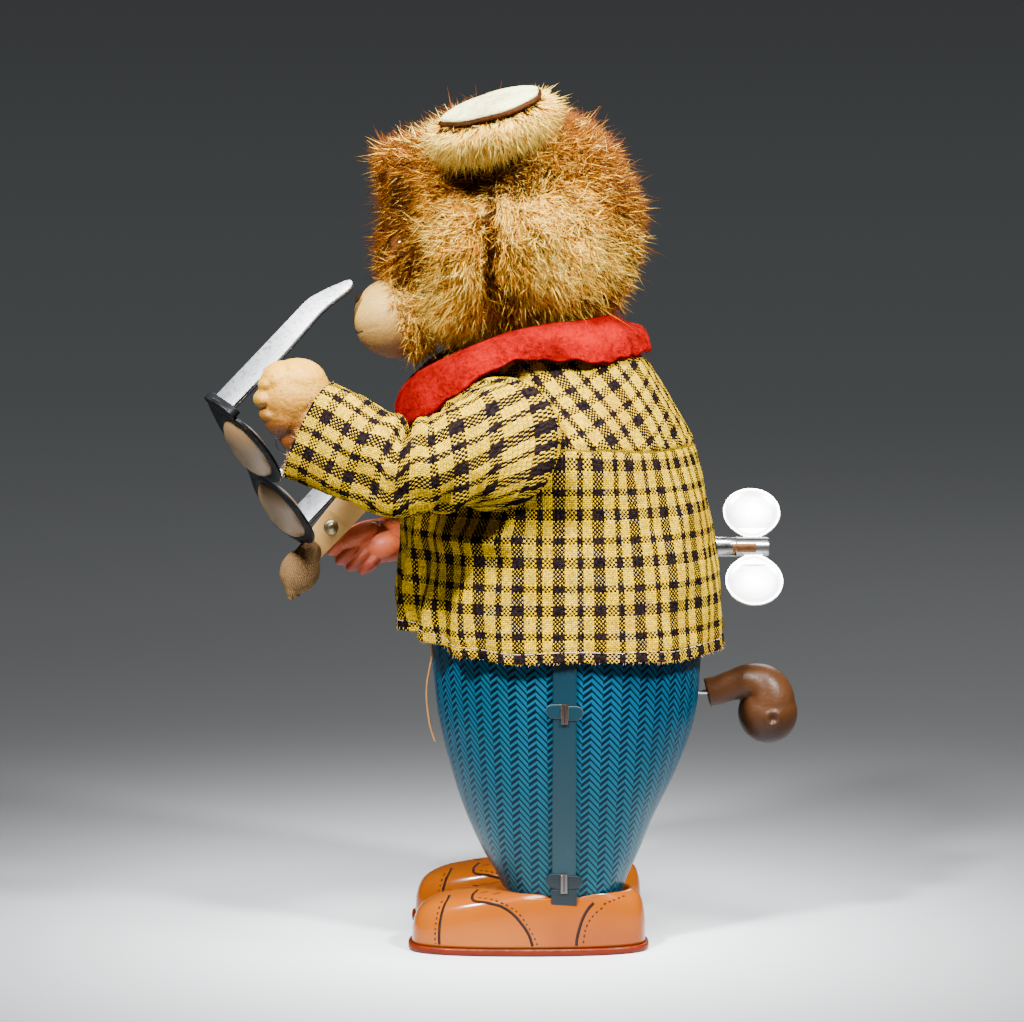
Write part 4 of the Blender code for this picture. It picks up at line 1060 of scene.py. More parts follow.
def jacket():
    columns, rows = 260, 150
    a = round_angles(columns)
    facing_front = ramp(-np.cos(a))
    hem = HEM_Z + 6.2 * facing_front ** 3 + 0.35 * np.sin(5 * a + 0.6) + 0.2 * np.sin(13 * a)
    share = np.linspace(0, 1, rows)[:, None]
    z = hem + (NECK_Z - hem) * share
    section = through(JACKET_ROWS[:, 0], JACKET_ROWS[:, 1:], z.ravel()).reshape(rows, columns, 3)
    depth = np.where(np.cos(a) > 0, section[..., 1], -section[..., 0])
    side = signed_power(np.sin(a), 0.92)
    ahead = signed_power(np.cos(a), 0.92)
    P = np.stack([section[..., 2] * side, depth * ahead, z], -1)
    flat = P.copy()
    normal = grid_normals(P, True)
    outward = np.sign((normal * (P - np.array([0, 0, 120.0]))).sum(-1, keepdims=True))
    normal = normal * outward
    low = ramp(132.0 - z, 50.0)
    front = ramp(-P[..., 1] - 14.0, 30.0)
    folds = (0.25 + 1.9 * front) * low * np.sin(a * 19 + 0.05 * z + 1.4 * np.sin(z / 17.0))
    folds += 0.5 * low * np.sin(a * 7 + 0.8)
    folds += 0.9 * waves(P, 17.0, 3.1) + 0.35 * waves(P, 6.0, 7.7)
    near = np.abs(P[..., 0]) > 20
    under_arm = hill(P[..., 1] + 19, 15, z - 121.0, 4.6) * near
    roll = hill(P[..., 1] + 20, 13, z - 113.5, 3.2) * near
    drag = hill(P[..., 1] + 34 + (112 - z) * 0.25, 4.0) * ramp(124 - z, 18)
    drag = drag * ramp(z - 92, 12) * near
    folds += -3.0 * under_arm + 2.6 * roll - 1.8 * drag
    shoulder = hill(P[..., 1] + 2, 13, z - 136.0, 13) * near
    folds += 6.6 * shoulder
    armhole = hill(np.hypot((P[..., 1] + 19) / 17.5, (z - 139) / 19.0) - 1, 0.05)
    armhole = armhole * near * (P[..., 1] > -19)
    folds += -0.9 * armhole
    behind = P[..., 1] > SHOULDER_LINE_Y
    yoke_seam = hill(z - YOKE_Z, 0.55) * behind
    folds += -0.45 * yoke_seam + 0.25 * hill(z - YOKE_Z - 1.4, 0.9) * behind
    hem_roll = hill(z - hem, 1.2)
    stitch_pull = hill(z - hem - 2.9, 0.5)
    folds += 0.25 * hem_roll - 0.30 * stitch_pull
    P = P + normal * folds[..., None]

    middle = flat[rows // 3]
    quarter = columns // 4
    run = travelled(np.vstack([middle, middle[:1]]))
    column_run = np.broadcast_to(run, (rows, columns + 1)) - run[quarter]
    wide = closed_rows(flat)
    rise = travelled(wide)
    v = rise - rise[0] + (np.append(hem, hem[0]) - HEM_Z)[None]
    uv = np.stack([column_run, v], -1)
    row_run = travelled(wide, 1)
    from_left = row_run[:, quarter:quarter + 1] - row_run
    from_right = row_run - row_run[:, 3 * quarter:3 * quarter + 1]
    s = np.where(np.arange(columns + 1) <= 2 * quarter, from_left, from_right) - SHOULDER_LINE_Y
    up = rise - np.take_along_axis(rise, np.argmax(wide[..., 2] > YOKE_Z, 0)[None], 0)
    tilt = np.where(s > 0, BACK_WEAVE_TILT, FRONT_WEAVE_TILT)
    yoke_u = np.abs(s) * np.cos(tilt) + up * np.sin(tilt)
    yoke_v = -np.abs(s) * np.sin(tilt) + up * np.cos(tilt)
    above = wide[..., 2] > YOKE_Z
    uv[..., 0] = np.where(above, yoke_u + 2.0, uv[..., 0])
    uv[..., 1] = np.where(above, yoke_v, uv[..., 1])
    coat = walled("jacket_cloth", P, 0.9, PLAID, uv=uv, flip=True)
    finish_piece(coat, "root", "plaid_cotton", "jacket")
    return P, hem, length_of(P[WIDEST_ROW], closed=True), coat


def hem_stitches(P, hem):
    """The pale machine stitch round the jacket, a little above its edge."""
    columns = P.shape[1]
    row = int(np.argmin(np.abs(P[:, columns // 4, 2] - hem[columns // 4] - 2.9)))
    line = P[row]
    normal = grid_normals(P, True)[row]
    normal *= np.sign((normal * (line - np.array([0, 0, line[0, 2]]))).sum(-1, keepdims=True))
    line = line + normal * 0.14
    points, faces = [], []
    for j in range(columns):
        k = (j + 1) % columns
        if j % 3 == 2:
            continue
        first, second = line[j], line[j] + (line[k] - line[j]) * 1.02
        run = second - first
        run /= np.linalg.norm(run)
        up = np.cross(run, normal[j])
        start = len(points)
        for where, size in ((first, 0.11), (second, 0.11)):
            for angle in range(5):
                t = TAU * angle / 5
                points.append(where + size * (up * math.cos(t) + normal[j] * math.sin(t)))
        for angle in range(5):
            nxt = (angle + 1) % 5
            faces.append((start + angle, start + nxt, start + 5 + nxt, start + 5 + angle))
    thing = mesh_object("hem_stitches", np.array(points), faces, PALE_THREAD)
    finish_piece(thing, "root", "plaid_cotton")


def frayed(name, edge, outward, body, look, rng, count, length):
    """Loose thread ends along a cut edge."""
    points, faces = [], []
    edge, outward = np.array(edge), np.array(outward)
    for _ in range(count):
        j = rng.integers(len(edge))
        root = edge[j] + (edge[(j + 1) % len(edge)] - edge[j]) * rng.random()
        direction = outward[j] + rng.normal(0, 0.45, 3)
        direction /= np.linalg.norm(direction)
        reach = length * (0.35 + rng.random() * 0.9)
        side = np.cross(direction, rng.normal(0, 1, 3))
        side /= np.linalg.norm(side)
        other = np.cross(direction, side)
        start = len(points)
        bend = rng.normal(0, 0.35, 3) * reach
        for share, radius in ((-0.15, 0.09), (0.5, 0.08)):
            centre = root + direction * reach * share + bend * share * share
            for t in (0, TAU / 3, 2 * TAU / 3):
                points.append(centre + radius * (side * math.cos(t) + other * math.sin(t)))
        points.append(root + direction * reach + bend)
        a, b, c, d, e, f, g = range(start, start + 7)
        faces += [(a, c, b), (a, b, e), (a, e, d), (b, c, f), (b, f, e), (c, a, d), (c, d, f), (d, e, g),
                  (e, f, g), (f, d, g)]
    thing = mesh_object(name, np.array(points), faces, look)
    return finish_piece(thing, body, "plaid_cotton")


# Sleeve stations: centre, direction, half width, half height
LEFT_SLEEVE = [
    ((29.0, -17.5, 140.5), (0.90, 0.00, 0.44), 14.5, 15.5),
    ((36.0, -18.5, 140.5), (0.90, -0.14, 0.40), 15.6, 16.8),
    ((42.4, -18.2, 139.4), (0.80, -0.55, 0.20), 17.4, 16.8),
    ((45.2, -25.0, 138.8), (0.42, -0.90, 0.04), 11.4, 14.4),
    ((48.8, -29.5, 137.0), (0.15, -0.98, -0.08), 10.2, 12.6),
    ((49.2, -36.5, 134.2), (0.00, -0.99, -0.04), 9.8, 11.2),
    ((47.8, -43.5, 133.0), (-0.14, -0.96, 0.20), 9.7, 11.2),
    ((44.4, -51.0, 135.4), (-0.25, -0.89, 0.36), 9.9, 12.4),
    ((40.2, -58.8, 139.4), (-0.27, -0.86, 0.43), 9.9, 13.2),
    ((35.8, -67.2, 143.2), (-0.25, -0.86, 0.44), 9.8, 13.6),
]
RIGHT_SLEEVE = [
    ((-29.0, -16.5, 139.5), (-0.90, 0.00, 0.40), 14.0, 15.0),
    ((-36.0, -17.0, 139.0), (-0.90, -0.12, 0.32), 15.0, 16.2),
    ((-42.4, -17.2, 137.0), (-0.82, -0.55, 0.02), 16.8, 16.0),
    ((-47.0, -20.0, 132.5), (-0.45, -0.85, -0.26), 11.2, 14.2),
    ((-49.0, -24.5, 126.5), (-0.12, -0.84, -0.52), 9.8, 12.8),
    ((-49.2, -29.0, 120.5), (0.12, -0.84, -0.52), 9.4, 12.0),
    ((-47.8, -34.0, 115.5), (0.30, -0.86, -0.40), 9.2, 11.6),
    ((-45.0, -38.6, 112.0), (0.40, -0.86, -0.32), 9.1, 11.5),
    ((-42.2, -42.2, 109.6), (0.44, -0.86, -0.26), 9.1, 11.5),
    ((-39.2, -46.0, 107.6), (0.45, -0.85, -0.25), 9.1, 11.5),
]


def sleeve(side, stations, sign, rng):
    keys = np.linspace(0, 1, len(stations))
    rows, columns = 130, 96
    s = np.linspace(0, 1, rows)
    centres, directions, widths, heights = (through(keys, column, s) for column in zip(*stations))
    P = rings_along(centres, directions, widths, heights, columns, 0.95)
    a = round_angles(columns)[None]
    normal = unit(P - centres[:, None])
    along = s[:, None]
    free = ramp(along - 0.18, 0.2)
    top, bottom = ramp(np.sin(a)), ramp(-np.sin(a))
    bend = along - 0.655 + 0.03 * np.cos(a)
    folds = -3.0 * hill(bend, 0.035) * top ** 1.5
    folds += 1.5 * hill(bend + 0.085, 0.04) * top + 1.1 * hill(bend - 0.075, 0.035) * top
    folds += -1.3 * hill(along - 0.56 - 0.10 * np.cos(a), 0.028) * (0.4 + bottom)
    folds += 0.9 * hill(along - 0.50 - 0.10 * np.cos(a), 0.035) * (0.4 + bottom)
    folds += -1.2 * hill(along - 0.40 - 0.06 * np.cos(a + 1), 0.03) * (0.5 + 0.5 * np.sin(a + 0.5))
    folds += -1.0 * hill(along - 0.77 + 0.05 * np.cos(a), 0.03) * (0.3 + bottom)
    folds += 0.55 * np.sin(a * 5 + along * 9) * ramp(along - 0.35, 0.3) * ramp(0.97 - along, 0.25)
    folds = folds * free + 0.9 * waves(P, 11.0, 5.3 * sign + 9) * free + 0.4 * waves(P, 4.5, 2.2)
    folds += 0.35 * np.sin(a * 3 + 1.0) * ramp(along - 0.9, 0.1)
    P = P + normal * folds[..., None]
    around = travelled(closed_rows(P), 1)
    around = around - around[:, columns // 4][:, None] + 1.3
    length = travelled(centres)[:, None]
    uv = np.stack(np.broadcast_arrays(around + 1.2 * np.sin(length / 14.0), length + 0.0 * around), -1)
    cloth = walled(f"{side}_sleeve_cloth", P, 0.8, PLAID, uv=uv, flip=sign < 0)
    fixed, free_end = (tuple(place((sign * x, y, 138.0))) for x, y in ((28.0, -8.0), (33.0, -24.0)))
    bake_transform(cloth)
    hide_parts(f"{side}_sleeve")
    outward = np.broadcast_to(directions[-1] / np.linalg.norm(directions[-1]), P[-1].shape)
    ends = frayed(f"{side}_cuff_fray", P[-1], outward, "arms", STRAP if sign > 0 else THREAD, rng, 230, 1.5)


# ---------------------------------------------------------------- collar

def nap(name, P, normal, look, rng, count, length):
    """Short fibres that stand off a felt surface, a few more along its cut edge."""
    rows, columns = P.shape[:2]
    row = np.where(rng.random(count) < 0.12, rows - 1, rng.integers(0, rows, count))
    column, share = rng.integers(0, columns, count), rng.random((count, 1))
    root = P[row, column] * (1 - share) + P[row, (column + 1) % columns] * share
    lean_out = unit(normal[row, column] * 0.7 + rng.normal(0, 0.55, (count, 3)))
    out = length * rng.uniform(0.5, 1.3, (count, 1))
    side = np.cross(lean_out, rng.normal(0, 1, (count, 3)))
    side *= 0.055 / np.linalg.norm(side, axis=1, keepdims=True)
    other = np.cross(lean_out, side)
    corners = [root + normal[row, column] * 0.62 + side * math.cos(t) + other * math.sin(t)
               for t in (0, TAU / 3, 2 * TAU / 3)]
    points = np.stack([*corners, root + normal[row, column] * 0.62 + lean_out * out], 1).reshape(-1, 3)
    faces = np.array([(0, 2, 1), (0, 1, 3), (1, 2, 3), (2, 0, 3)])
    faces = (faces[None] + 4 * np.arange(count)[:, None, None]).reshape(-1, 3)
    return finish_piece(mesh_object(name, points, faces, look), "root", "red_felt")


# The collar's lower and upper edges round one side, at angles from the middle of the back
COLLAR_ANGLES = [0, 12, 30, 60, 90, 110, 125, 140, 155, 168, 180]
COLLAR_LOW = [(0, 20.8, 162.6), (6.0, 20.6, 162.2), (14, 18.6, 161.4), (23.5, 11.6, 160.4),
              (29.6, -1.0, 160.8),
              (31.2, -11.0, 161.6), (32.0, -19.6, 157.8), (31.0, -28.5, 152.0), (25.5, -36.4, 146.2),
              (14.5, -41.8, 142.4), (0, -44.4, 140.6)]
COLLAR_HIGH = [(0, 12.6, 171.2), (4.2, 12.4, 171.1), (10.5, 11.0, 170.9), (20.5, 4.0, 170.2),
               (24.6, -7.0, 169.0),
               (24.6, -15.0, 167.0), (23.6, -22.0, 164.4), (21.0, -28.5, 161.4), (16.0, -35.0, 158.2),
               (8.5, -39.0, 155.2), (0, -40.4, 153.8)]


def collar(rng):
    columns, rows = 300, 26
    a = np.linspace(0, 360, columns, endpoint=False)
    fold = np.where(a > 180, 360 - a, a)
    mirror = np.where(a > 180, -1.0, 1.0)
    lower, upper = (through(COLLAR_ANGLES, edge, fold) for edge in (COLLAR_LOW, COLLAR_HIGH))
    lower[:, 0] *= mirror
    upper[:, 0] *= mirror
    t = np.linspace(0, 1, rows)[:, None, None]
    P = lower + (upper - lower) * t
    bow = np.sin(t[..., 0] * math.pi)
    out = unit(np.stack([P[..., 0], P[..., 1] + 10, np.zeros(P.shape[:2])], -1))
    P += out * (2.0 * bow)[..., None]
    P[..., 2] += 0.8 * bow
    back = hill(fold, 11.0)
    shelf = ramp(0.52 - t[..., 0], 0.12) * ramp(back * 1.4)
    step_back = ramp(t[..., 0] - 0.50, 0.14) * back
    P[..., 1] += 0.8 * shelf - 3.6 * step_back
    P[..., 2] += 1.2 * shelf * t[..., 0]
    ripple = 0.8 * np.sin(np.radians(a) * 6 + 0.4) + 0.5 * np.sin(np.radians(a) * 11)
    P += out * (ripple * (1 - t[..., 0]))[..., None]
    P[..., 2] += (0.45 * np.sin(np.radians(a) * 9 + 1) + 0.3 * np.sin(np.radians(a) * 23)) * (1 - t[..., 0])
    P += out * (0.7 * waves(P, 9.0, 1.7) + 0.25 * waves(P, 2.4, 4.1))[..., None]
    thing = walled("felt_collar", P, 1.3, RED_FELT)
    finish_piece(thing, "root", "red_felt", "collar")
    edge = P[0]
    outward = unit(np.stack([edge[:, 0], edge[:, 1] + 10, np.full(columns, -14.0)], -1))
    normal = grid_normals(P, True)
    normal *= np.sign((normal * out).sum(-1, keepdims=True))
    fuzz_rows, fuzz_out = np.concatenate([P[1:-1], P[:1]]), np.concatenate([normal[1:-1], outward[None]])
    fuzz = nap("collar_fuzz", fuzz_rows, fuzz_out, RED_FELT, rng, 9000, 0.9)


# ---------------------------------------------------------------- head

HEAD_CENTRE = np.array((0.0, -15.4, 196.6))
EYE_CENTRE = np.array((9.8, -43.6, 190.4))
SKIN_RADII = np.array((32.2, 33.0, 29.6))
MUZZLE_CENTRE, MUZZLE_RADII = np.array((0.0, -45.2, 170.8)), np.array((14.0, 12.0, 11.2))
SHELL_CENTRE, SHELL_RADIUS = np.array((0.0, -12.0, 196.0)), 30.6

# Soft hills and hollows of the head seen from its side: Y, Z, spread in Y and Z, height
HEAD_RELIEF = [
    (-46.0, 215.0, 7.0, 7.0, 7.6),
    (-44.0, 200.0, 4.6, 9.0, -5.6),
    (-38.5, 187.0, 4.0, 6.5, -3.8),
    (-49.5, 184.0, 5.0, 6.0, 2.6),
    (-44.0, 214.0, 3.0, 3.0, -1.0),
    (-28.0, 191.0, 6.0, 9.0, 3.8),
    (-28.0, 173.0, 9.0, 8.0, 3.4),
    (1.0, 195.0, 13.0, 12.0, 1.6),
    (12.0, 206.0, 9.0, 9.0, -1.0),
    (-16.5, 177.0, 4.0, 4.0, -2.0),
    (-19.0, 209.5, 13.0, 3.8, -4.0),
    (18.0, 172.0, 8.0, 6.0, 1.2),
]


def relief(P):
    """Height of the head's hills and hollows at points, and how deep in a hollow each one is."""
    y, z = P[..., 1], P[..., 2]
    side = ramp(np.abs(P[..., 0]) - 4, 12)
    height, hollow = np.zeros(y.shape), np.zeros(y.shape)
    for cy, cz, ry, rz, size in HEAD_RELIEF:
        here = hill(y - cy, ry, z - cz, rz) * (side if size < 0 else 1.0)
        height += size * here
        if size < 0:
            hollow = np.maximum(hollow, here * min(1.0, -size / 3.6))
    seam = hill(y + 19.6, 1.3) * ramp(z - 176, 4) * ramp(212 - z, 4) * side
    height -= 2.4 * seam + 2.0 * hill(y + 49, 7.0, z - 200, 8.0)
    height += 1.3 * hill(y + 15.6, 2.2) * ramp(z - 180, 6) * ramp(210 - z, 6) * side
    return height, np.maximum(hollow, seam)


def head_surface(d):
    P = HEAD_CENTRE + d * SKIN_RADII
    height, hollow = relief(P)
    lumpy = 0.8 * waves(P, 9.0, 14.5)
    P = P + d * (height + lumpy)[..., None]
    from_shell = P - SHELL_CENTRE
    gap = np.linalg.norm(from_shell, axis=-1, keepdims=True)
    return SHELL_CENTRE + from_shell * np.maximum(1.0, SHELL_RADIUS / gap), hollow


def head_skin():
    rows, columns = 100, 150
    polar = np.linspace(0.02, math.pi - 0.30, rows)[::-1]
    thing = capped("plush_head_skin", head_surface(ball(polar, round_angles(columns)))[0], GROUND)
    finish_piece(thing, "head", "gold_plush", "head_plush")


def strands(name, roots, directions, lengths, widths, shades, rng, bend=0.35):
    """Fur as thin closed spikes: a root triangle, a middle one and a tip."""
    count = len(roots)
    directions = unit(directions)
    side = unit(np.cross(directions, rng.normal(0, 1, (count, 3))))
    other = np.cross(directions, side)
    curl = rng.normal(0, bend, (count, 3)) * lengths[:, None]
    curl[:, 2] -= 0.22 * lengths
    points = np.empty((count, 7, 3))
    for ring, (share, size) in enumerate(((0.0, 1.0), (0.5, 0.85))):
        centre = roots + directions * (lengths * share)[:, None] + curl * share ** 2
        for corner in range(3):
            t = TAU * corner / 3
            around = side * math.cos(t) + other * math.sin(t)
            points[:, ring * 3 + corner] = centre + (widths * size)[:, None] * around
    points[:, 6] = roots + directions * lengths[:, None] + curl
    faces = np.array([(0, 2, 1), (0, 1, 4), (0, 4, 3), (1, 2, 5), (1, 5, 4), (2, 0, 3), (2, 3, 5), (3, 4, 6),
                      (4, 5, 6), (5, 3, 6)])
    faces = (faces[None] + 7 * np.arange(count)[:, None, None]).reshape(-1, 3)
    thing = mesh_object(name, points.reshape(-1, 3), faces, FUR, look_index=np.repeat(shades, 10))
    return finish_piece(thing, "head", "gold_plush")


def pick_shades(weights, rng):
    """A shade for each strand, from rows of weights."""
    share = np.cumsum(weights / weights.sum(1, keepdims=True), 1)
    return (rng.random(len(weights))[:, None] > share).sum(1).clip(0, len(FUR) - 1)


# Pale patches of fur in the side view, the one at Y 3, Z 188 a painted highlight where the side of the head
# faces the light: amount, (Y, Z, spread in Y, spread in Z)
PALE_AND_HIGHLIGHT_PATCHES = ((1.0, (3, 188, 9, 9)), (0.9, (-11, 202, 8, 6)), (1.0, (-28, 173, 8, 10)),
                (0.20, (-30, 196, 7, 5)),
                (0.25, (-8, 182, 8, 7)), (0.25, (-33, 222, 10, 4)), (0.12, (-34, 184, 6, 7)))
# Parts of the head's fur from its front to its back: name, start and end in Y
FUR_PARTS = (("face", -math.inf, -29), ("cheek", -29, -13), ("nape", -13, 4), ("back", 4, math.inf))
HEAD_STRANDS, MUZZLE_STRANDS, EAR_STRANDS = 124000, 9000, 15000


def head_fur(rng):
    count = HEAD_STRANDS
    d = unit(rng.normal(0, 1, (count, 3)))
    roots, hollow = head_surface(d)
    normal = unit(d / SKIN_RADII)
    x, y, z = roots.T
    on_muzzle = ((x / 11.5) ** 2 + ((y + 51) / 9.0) ** 2 + ((z - 170.5) / 9.0) ** 2) < 1
    under = z < 161.0 + 0.10 * (y + 14)
    ear_spot = (((np.abs(x) - 26) / 9) ** 2 + ((y + 18) / 10) ** 2 < 1) & (z > 215)
    eye_spot = (((np.abs(x) - EYE_CENTRE[0] + 1.6) / 2.4) ** 2
                + ((z - EYE_CENTRE[2]) / 3.0) ** 2 < 1) & (y < -38)
    keep = ~(on_muzzle | under | ear_spot | eye_spot)
    d, roots, normal, hollow = d[keep], roots[keep], normal[keep], hollow[keep]
    x, y, z = roots.T
    front = y < -19.6
    flow = np.where(front[:, None], np.array((0, -0.75, -0.55)), np.array((0, 0.35, -0.65)))
    crown = ramp(z - 208, 14)[:, None]
    swirl = np.stack([0.3 * np.sign(x), np.where(y < -14, -0.8, 0.6), 0.1 + 0 * x], -1)
    flow = flow * (1 - crown) + swirl * crown
    low = ramp(175 - z, 10)[:, None]
    flow = flow * (1 - low) + np.stack([0.3 * np.sign(x), np.where(front, -0.45, -0.25), -0.75 + 0 * x],
                                       -1) * low
    flow = flow - normal * (flow * normal).sum(1, keepdims=True)
    tuft = waves(roots, 4.0, 11.0)
    tuft_side = np.stack([waves(roots, 4.5, seed) for seed in (21.0, 31.0, 41.0)], -1)
    direction = normal * 0.62 + flow * 0.80 + tuft_side * 1.05 + rng.normal(0, 0.34, roots.shape)
    lengths = 3.5 + 1.3 * tuft + rng.normal(0, 0.7, len(roots))
    lengths *= 1 - 0.35 * hollow
    stray = rng.random(len(roots)) < 0.02
    lengths = np.clip(lengths + stray * rng.uniform(0.5, 3.0, len(roots)), 1.5, 7.0)
    widths = rng.uniform(0.08, 0.15, len(roots))
    broad = waves(roots, 9.0, 51.0)

    def patch(cy, cz, ry, rz):
        return hill(y - cy, ry, z - cz, rz)

    # Pale strands: paler fur, with a painted highlight where the side of the head faces the light.
    pale = sum(amount * patch(*where) for amount, where in PALE_AND_HIGHLIGHT_PATCHES)
    pale *= 1.1 + 1.3 * broad
    # Painted shade: dark strands in the hollows, at the eye's recess and in a band just above the collar. The
    # random dark tufts added next are the fur's own tone.
    dark = 1.1 * hollow + 0.45 * patch(-45, 200, 5, 10) + 0.6 * hill(z - 163.0 - 0.12 * (y + 14), 2.6)
    dark += ramp(0.35 * waves(roots, 6.0, 71.0))
    rim = ramp(np.hypot((y + 15) / 36, (z - 197) / 32) - 0.62, 0.30)
    pale, dark = np.clip(pale, 0, 1.3), np.clip(dark, 0, 1.5)
    # Painted shade: fewer pale strands in the hollows.
    pale = pale * (1 - 0.8 * ramp(hollow))
    weights = np.stack([0.03 + 3.6 * pale, 0.12 + 3.0 * pale, 0.80 - 0.62 * rim,
                        0.45 + 1.4 * rim + 0.9 * dark - 0.4 * ramp(pale), 0.04 + 2.4 * dark], -1)
    shades = pick_shades(weights, rng)
    for side, half in (("left", x > 0), ("right", x <= 0)):
        for part, start, end in FUR_PARTS:
            chosen = half & (y >= start) & (y < end)
            strands(f"fur_{side}_{part}", roots[chosen], direction[chosen], lengths[chosen], widths[chosen],
                    shades[chosen], rng, 0.42)


def muzzle_fur(rng):
    """Fur that spreads forward over the back of the muzzle."""
    count = MUZZLE_STRANDS
    d = unit(rng.normal(0, 1, (count, 3)))
    roots = MUZZLE_CENTRE + d * MUZZLE_RADII * 0.99
    edge = -48.4 + (182.5 - roots[:, 2]) * 0.36 + 2.2 * waves(roots, 3.0, 61.0)
    chosen = (roots[:, 1] > edge + rng.normal(0, 0.7, count)) & (roots[:, 1] < -36)
    d, roots = d[chosen], roots[chosen]
    sweep = np.stack([0.45 * np.sign(d[:, 0]), np.full(len(d), -0.55), np.where(d[:, 2] > 0.2, 0.15, -0.75)],
                     -1)
    tuft = np.stack([waves(roots, 3.5, seed) for seed in (13.0, 16.0, 18.0)], -1)
    direction = d * 0.55 + sweep * 0.7 + tuft + rng.normal(0, 0.3, roots.shape)
    lengths = np.clip(3.0 + rng.normal(0, 0.7, len(d)), 1.4, 5.0)
    weights = np.tile((0.9, 0.9, 0.6, 0.35, 0.10), (len(d), 1))
    widths = rng.uniform(0.07, 0.12, len(d))
    strands("fur_muzzle_edge", roots, direction, lengths, widths, pick_shades(weights, rng), rng, 0.45)


EAR_RADII = np.array((11.5, 14.6, 4.6))


def ears(rng):
    for side, sign in SIDES:
        turn = np.array(lean("X", 17) @ lean("Y", sign * 13))
        centre = np.array((sign * 29.5, -19.4, 224.6))
        rows, columns = 40, 96
        polar = np.linspace(0.03, math.pi - 0.03, rows)[::-1]
        a = round_angles(columns)
        body = capped(f"{side}_ear_pad", centre + (ball(polar, a) * EAR_RADII) @ turn.T, GROUND)
        finish_piece(body, "head", "gold_plush", f"{side}_ear_fur")
        felt_centre = np.array((sign * 31.0, -19.8, 229.8))
        rows = 14
        radius = np.linspace(0.002, 1.0, rows)[:, None]
        wave = 1 + 0.03 * np.sin(3 * a + 0.5) + 0.015 * np.sin(7 * a)
        P = np.stack([11.0 * radius * np.cos(a) * wave, 13.6 * radius * np.sin(a) * wave,
                      1.0 * (1 - radius ** 2) - 0.9 * radius ** 6 + 0 * a], -1)
        P = felt_centre + P @ turn.T
        under = P - np.array((0, 0, 1.0)) @ turn.T * 0.95
        under = felt_centre + (under - felt_centre) * 1.05
        rim = walled(f"{side}_ear_rim", under, 0.9, RIM_FELT, flip=True)
        finish_piece(rim, "head", "gold_plush")
        disc = walled(f"{side}_ear_disc", P, 0.9, CREAM_FELT, flip=True)
        finish_piece(disc, "head", "cream_felt", f"{side}_ear_felt")
        count = EAR_STRANDS
        a = rng.uniform(0, TAU, count)
        height = rng.uniform(-0.75, 0.62, count)
        reach = np.sqrt(1 - height ** 2)
        d = np.stack([reach * np.cos(a), reach * np.sin(a), height], -1)
        roots = centre + (d * EAR_RADII) @ turn.T
        outward = d * np.array((1.0, 0.9, 0.4)) @ turn.T
        fringe = ramp(sign * d[:, 0] + 0.2, 0.8)[:, None]
        direction = outward * (0.9 - 0.25 * fringe) + np.array((0, 0.0, -1.0)) * (0.30 + 0.40 * fringe)
        direction += rng.normal(0, 0.22, roots.shape)
        direction += 0.55 * np.stack([waves(roots, 3.5, seed) for seed in (3.0, 6.0, 8.0)], -1)
        lengths = np.clip(3.0 + 1.7 * fringe[:, 0] + rng.normal(0, 0.7, count), 1.6, 6.5)
        lengths *= np.where(d[:, 2] > 0.45, 0.45, 1.0)
        rim = d[:, 2] > 0.42
        dark_rim = rim & (sign * d[:, 0] > 0.1)
        weights = np.stack([1.8 - 1.5 * dark_rim, 0.9 - 0.7 * dark_rim, np.full(count, 0.35),
                            0.06 + 0.3 * rim,
                            0.05 + 2.4 * dark_rim], -1)
        widths = rng.uniform(0.10, 0.18, count)
        strands(f"{side}_ear_fringe", roots, direction, lengths, widths, pick_shades(weights, rng), rng)


def forward_ball(polar, around):
    """Unit directions at each pair of angles, the first one from straight ahead."""
    right, up, ahead = np.moveaxis(ball(polar, around), -1, 0)
    return np.stack([right, -ahead, up], -1)


def face():
    """Muzzle with its mouth line, nose and eyes."""
    rows, columns = 70, 120
    polar = np.linspace(0.02, math.pi - 0.02, rows)
    a = round_angles(columns)
    d = forward_ball(polar, a)
    bulge = 1 + 0.05 * hill(np.abs(d[..., 0]) - 0.45, 0.3, d[..., 2] + 0.05, 0.5)
    mouth = hill(d[..., 2] + 0.36 - 0.25 * d[..., 0] ** 2, 0.05) * ramp(-d[..., 1] * 1.6 + 0.2)
    groove = hill(d[..., 0], 0.05) * (d[..., 2] < 0.35) * (d[..., 2] > -0.36) * (d[..., 1] < 0)
    chin = hill(d[..., 2] + 0.62, 0.18, d[..., 0], 0.5) * (d[..., 1] < 0.1)
    P = MUZZLE_CENTRE + d * MUZZLE_RADII * (bulge - 0.010 * mouth - 0.04 * groove + 0.03 * chin)[..., None]
    thing = capped("muzzle_skin", P, MUZZLE, flip=True)
    finish_piece(thing, "head", "cream_vinyl", "muzzle")
    lip = [(x, -45.2 - 12.0 * math.sqrt(max(0.0, 1 - (x / 15.2) ** 2 - 0.13)) - 0.2,
            170.8 - 4.1 + 2.6 * (x / 14.5) ** 2)
           for x in np.linspace(-8.4, 8.4, 13)]
    thing = tube("mouth_line", lip, 0.26, DARK_VINYL, 4, 8)
    finish_piece(thing, "head", "dark_vinyl")
    thing = blob("nose_button",
                 [((0, -55.0, 175.6), (4.4, 1.9, 2.3), lean("X", -24)),
                  ((0, -55.6, 174.2), (2.2, 1.5, 1.9), None)],
                 DARK_VINYL, 0.3, 3)
    finish_piece(thing, "head", "dark_vinyl", "nose")
    for side, sign in SIDES:
        d = forward_ball(np.linspace(0.02, math.pi - 0.02, 30), a)
        socket = EYE_CENTRE * (sign, 1, 1)
        P = socket + d * np.array((3.8, 3.6, 3.8))
        eye = capped("eye_glass", P, AMBER_GLASS, flip=True)
        pupil = socket + (0, -1.4, 0) + d * np.array((2.8, 2.5, 2.8))
        thing = join(f"{side}_eye_button", [eye, capped("pupil", pupil, DARK_VINYL, flip=True)])
        finish_piece(thing, "head", "dark_vinyl", f"{side}_eye")


# ---------------------------------------------------------------- hands, spectacles, cloth

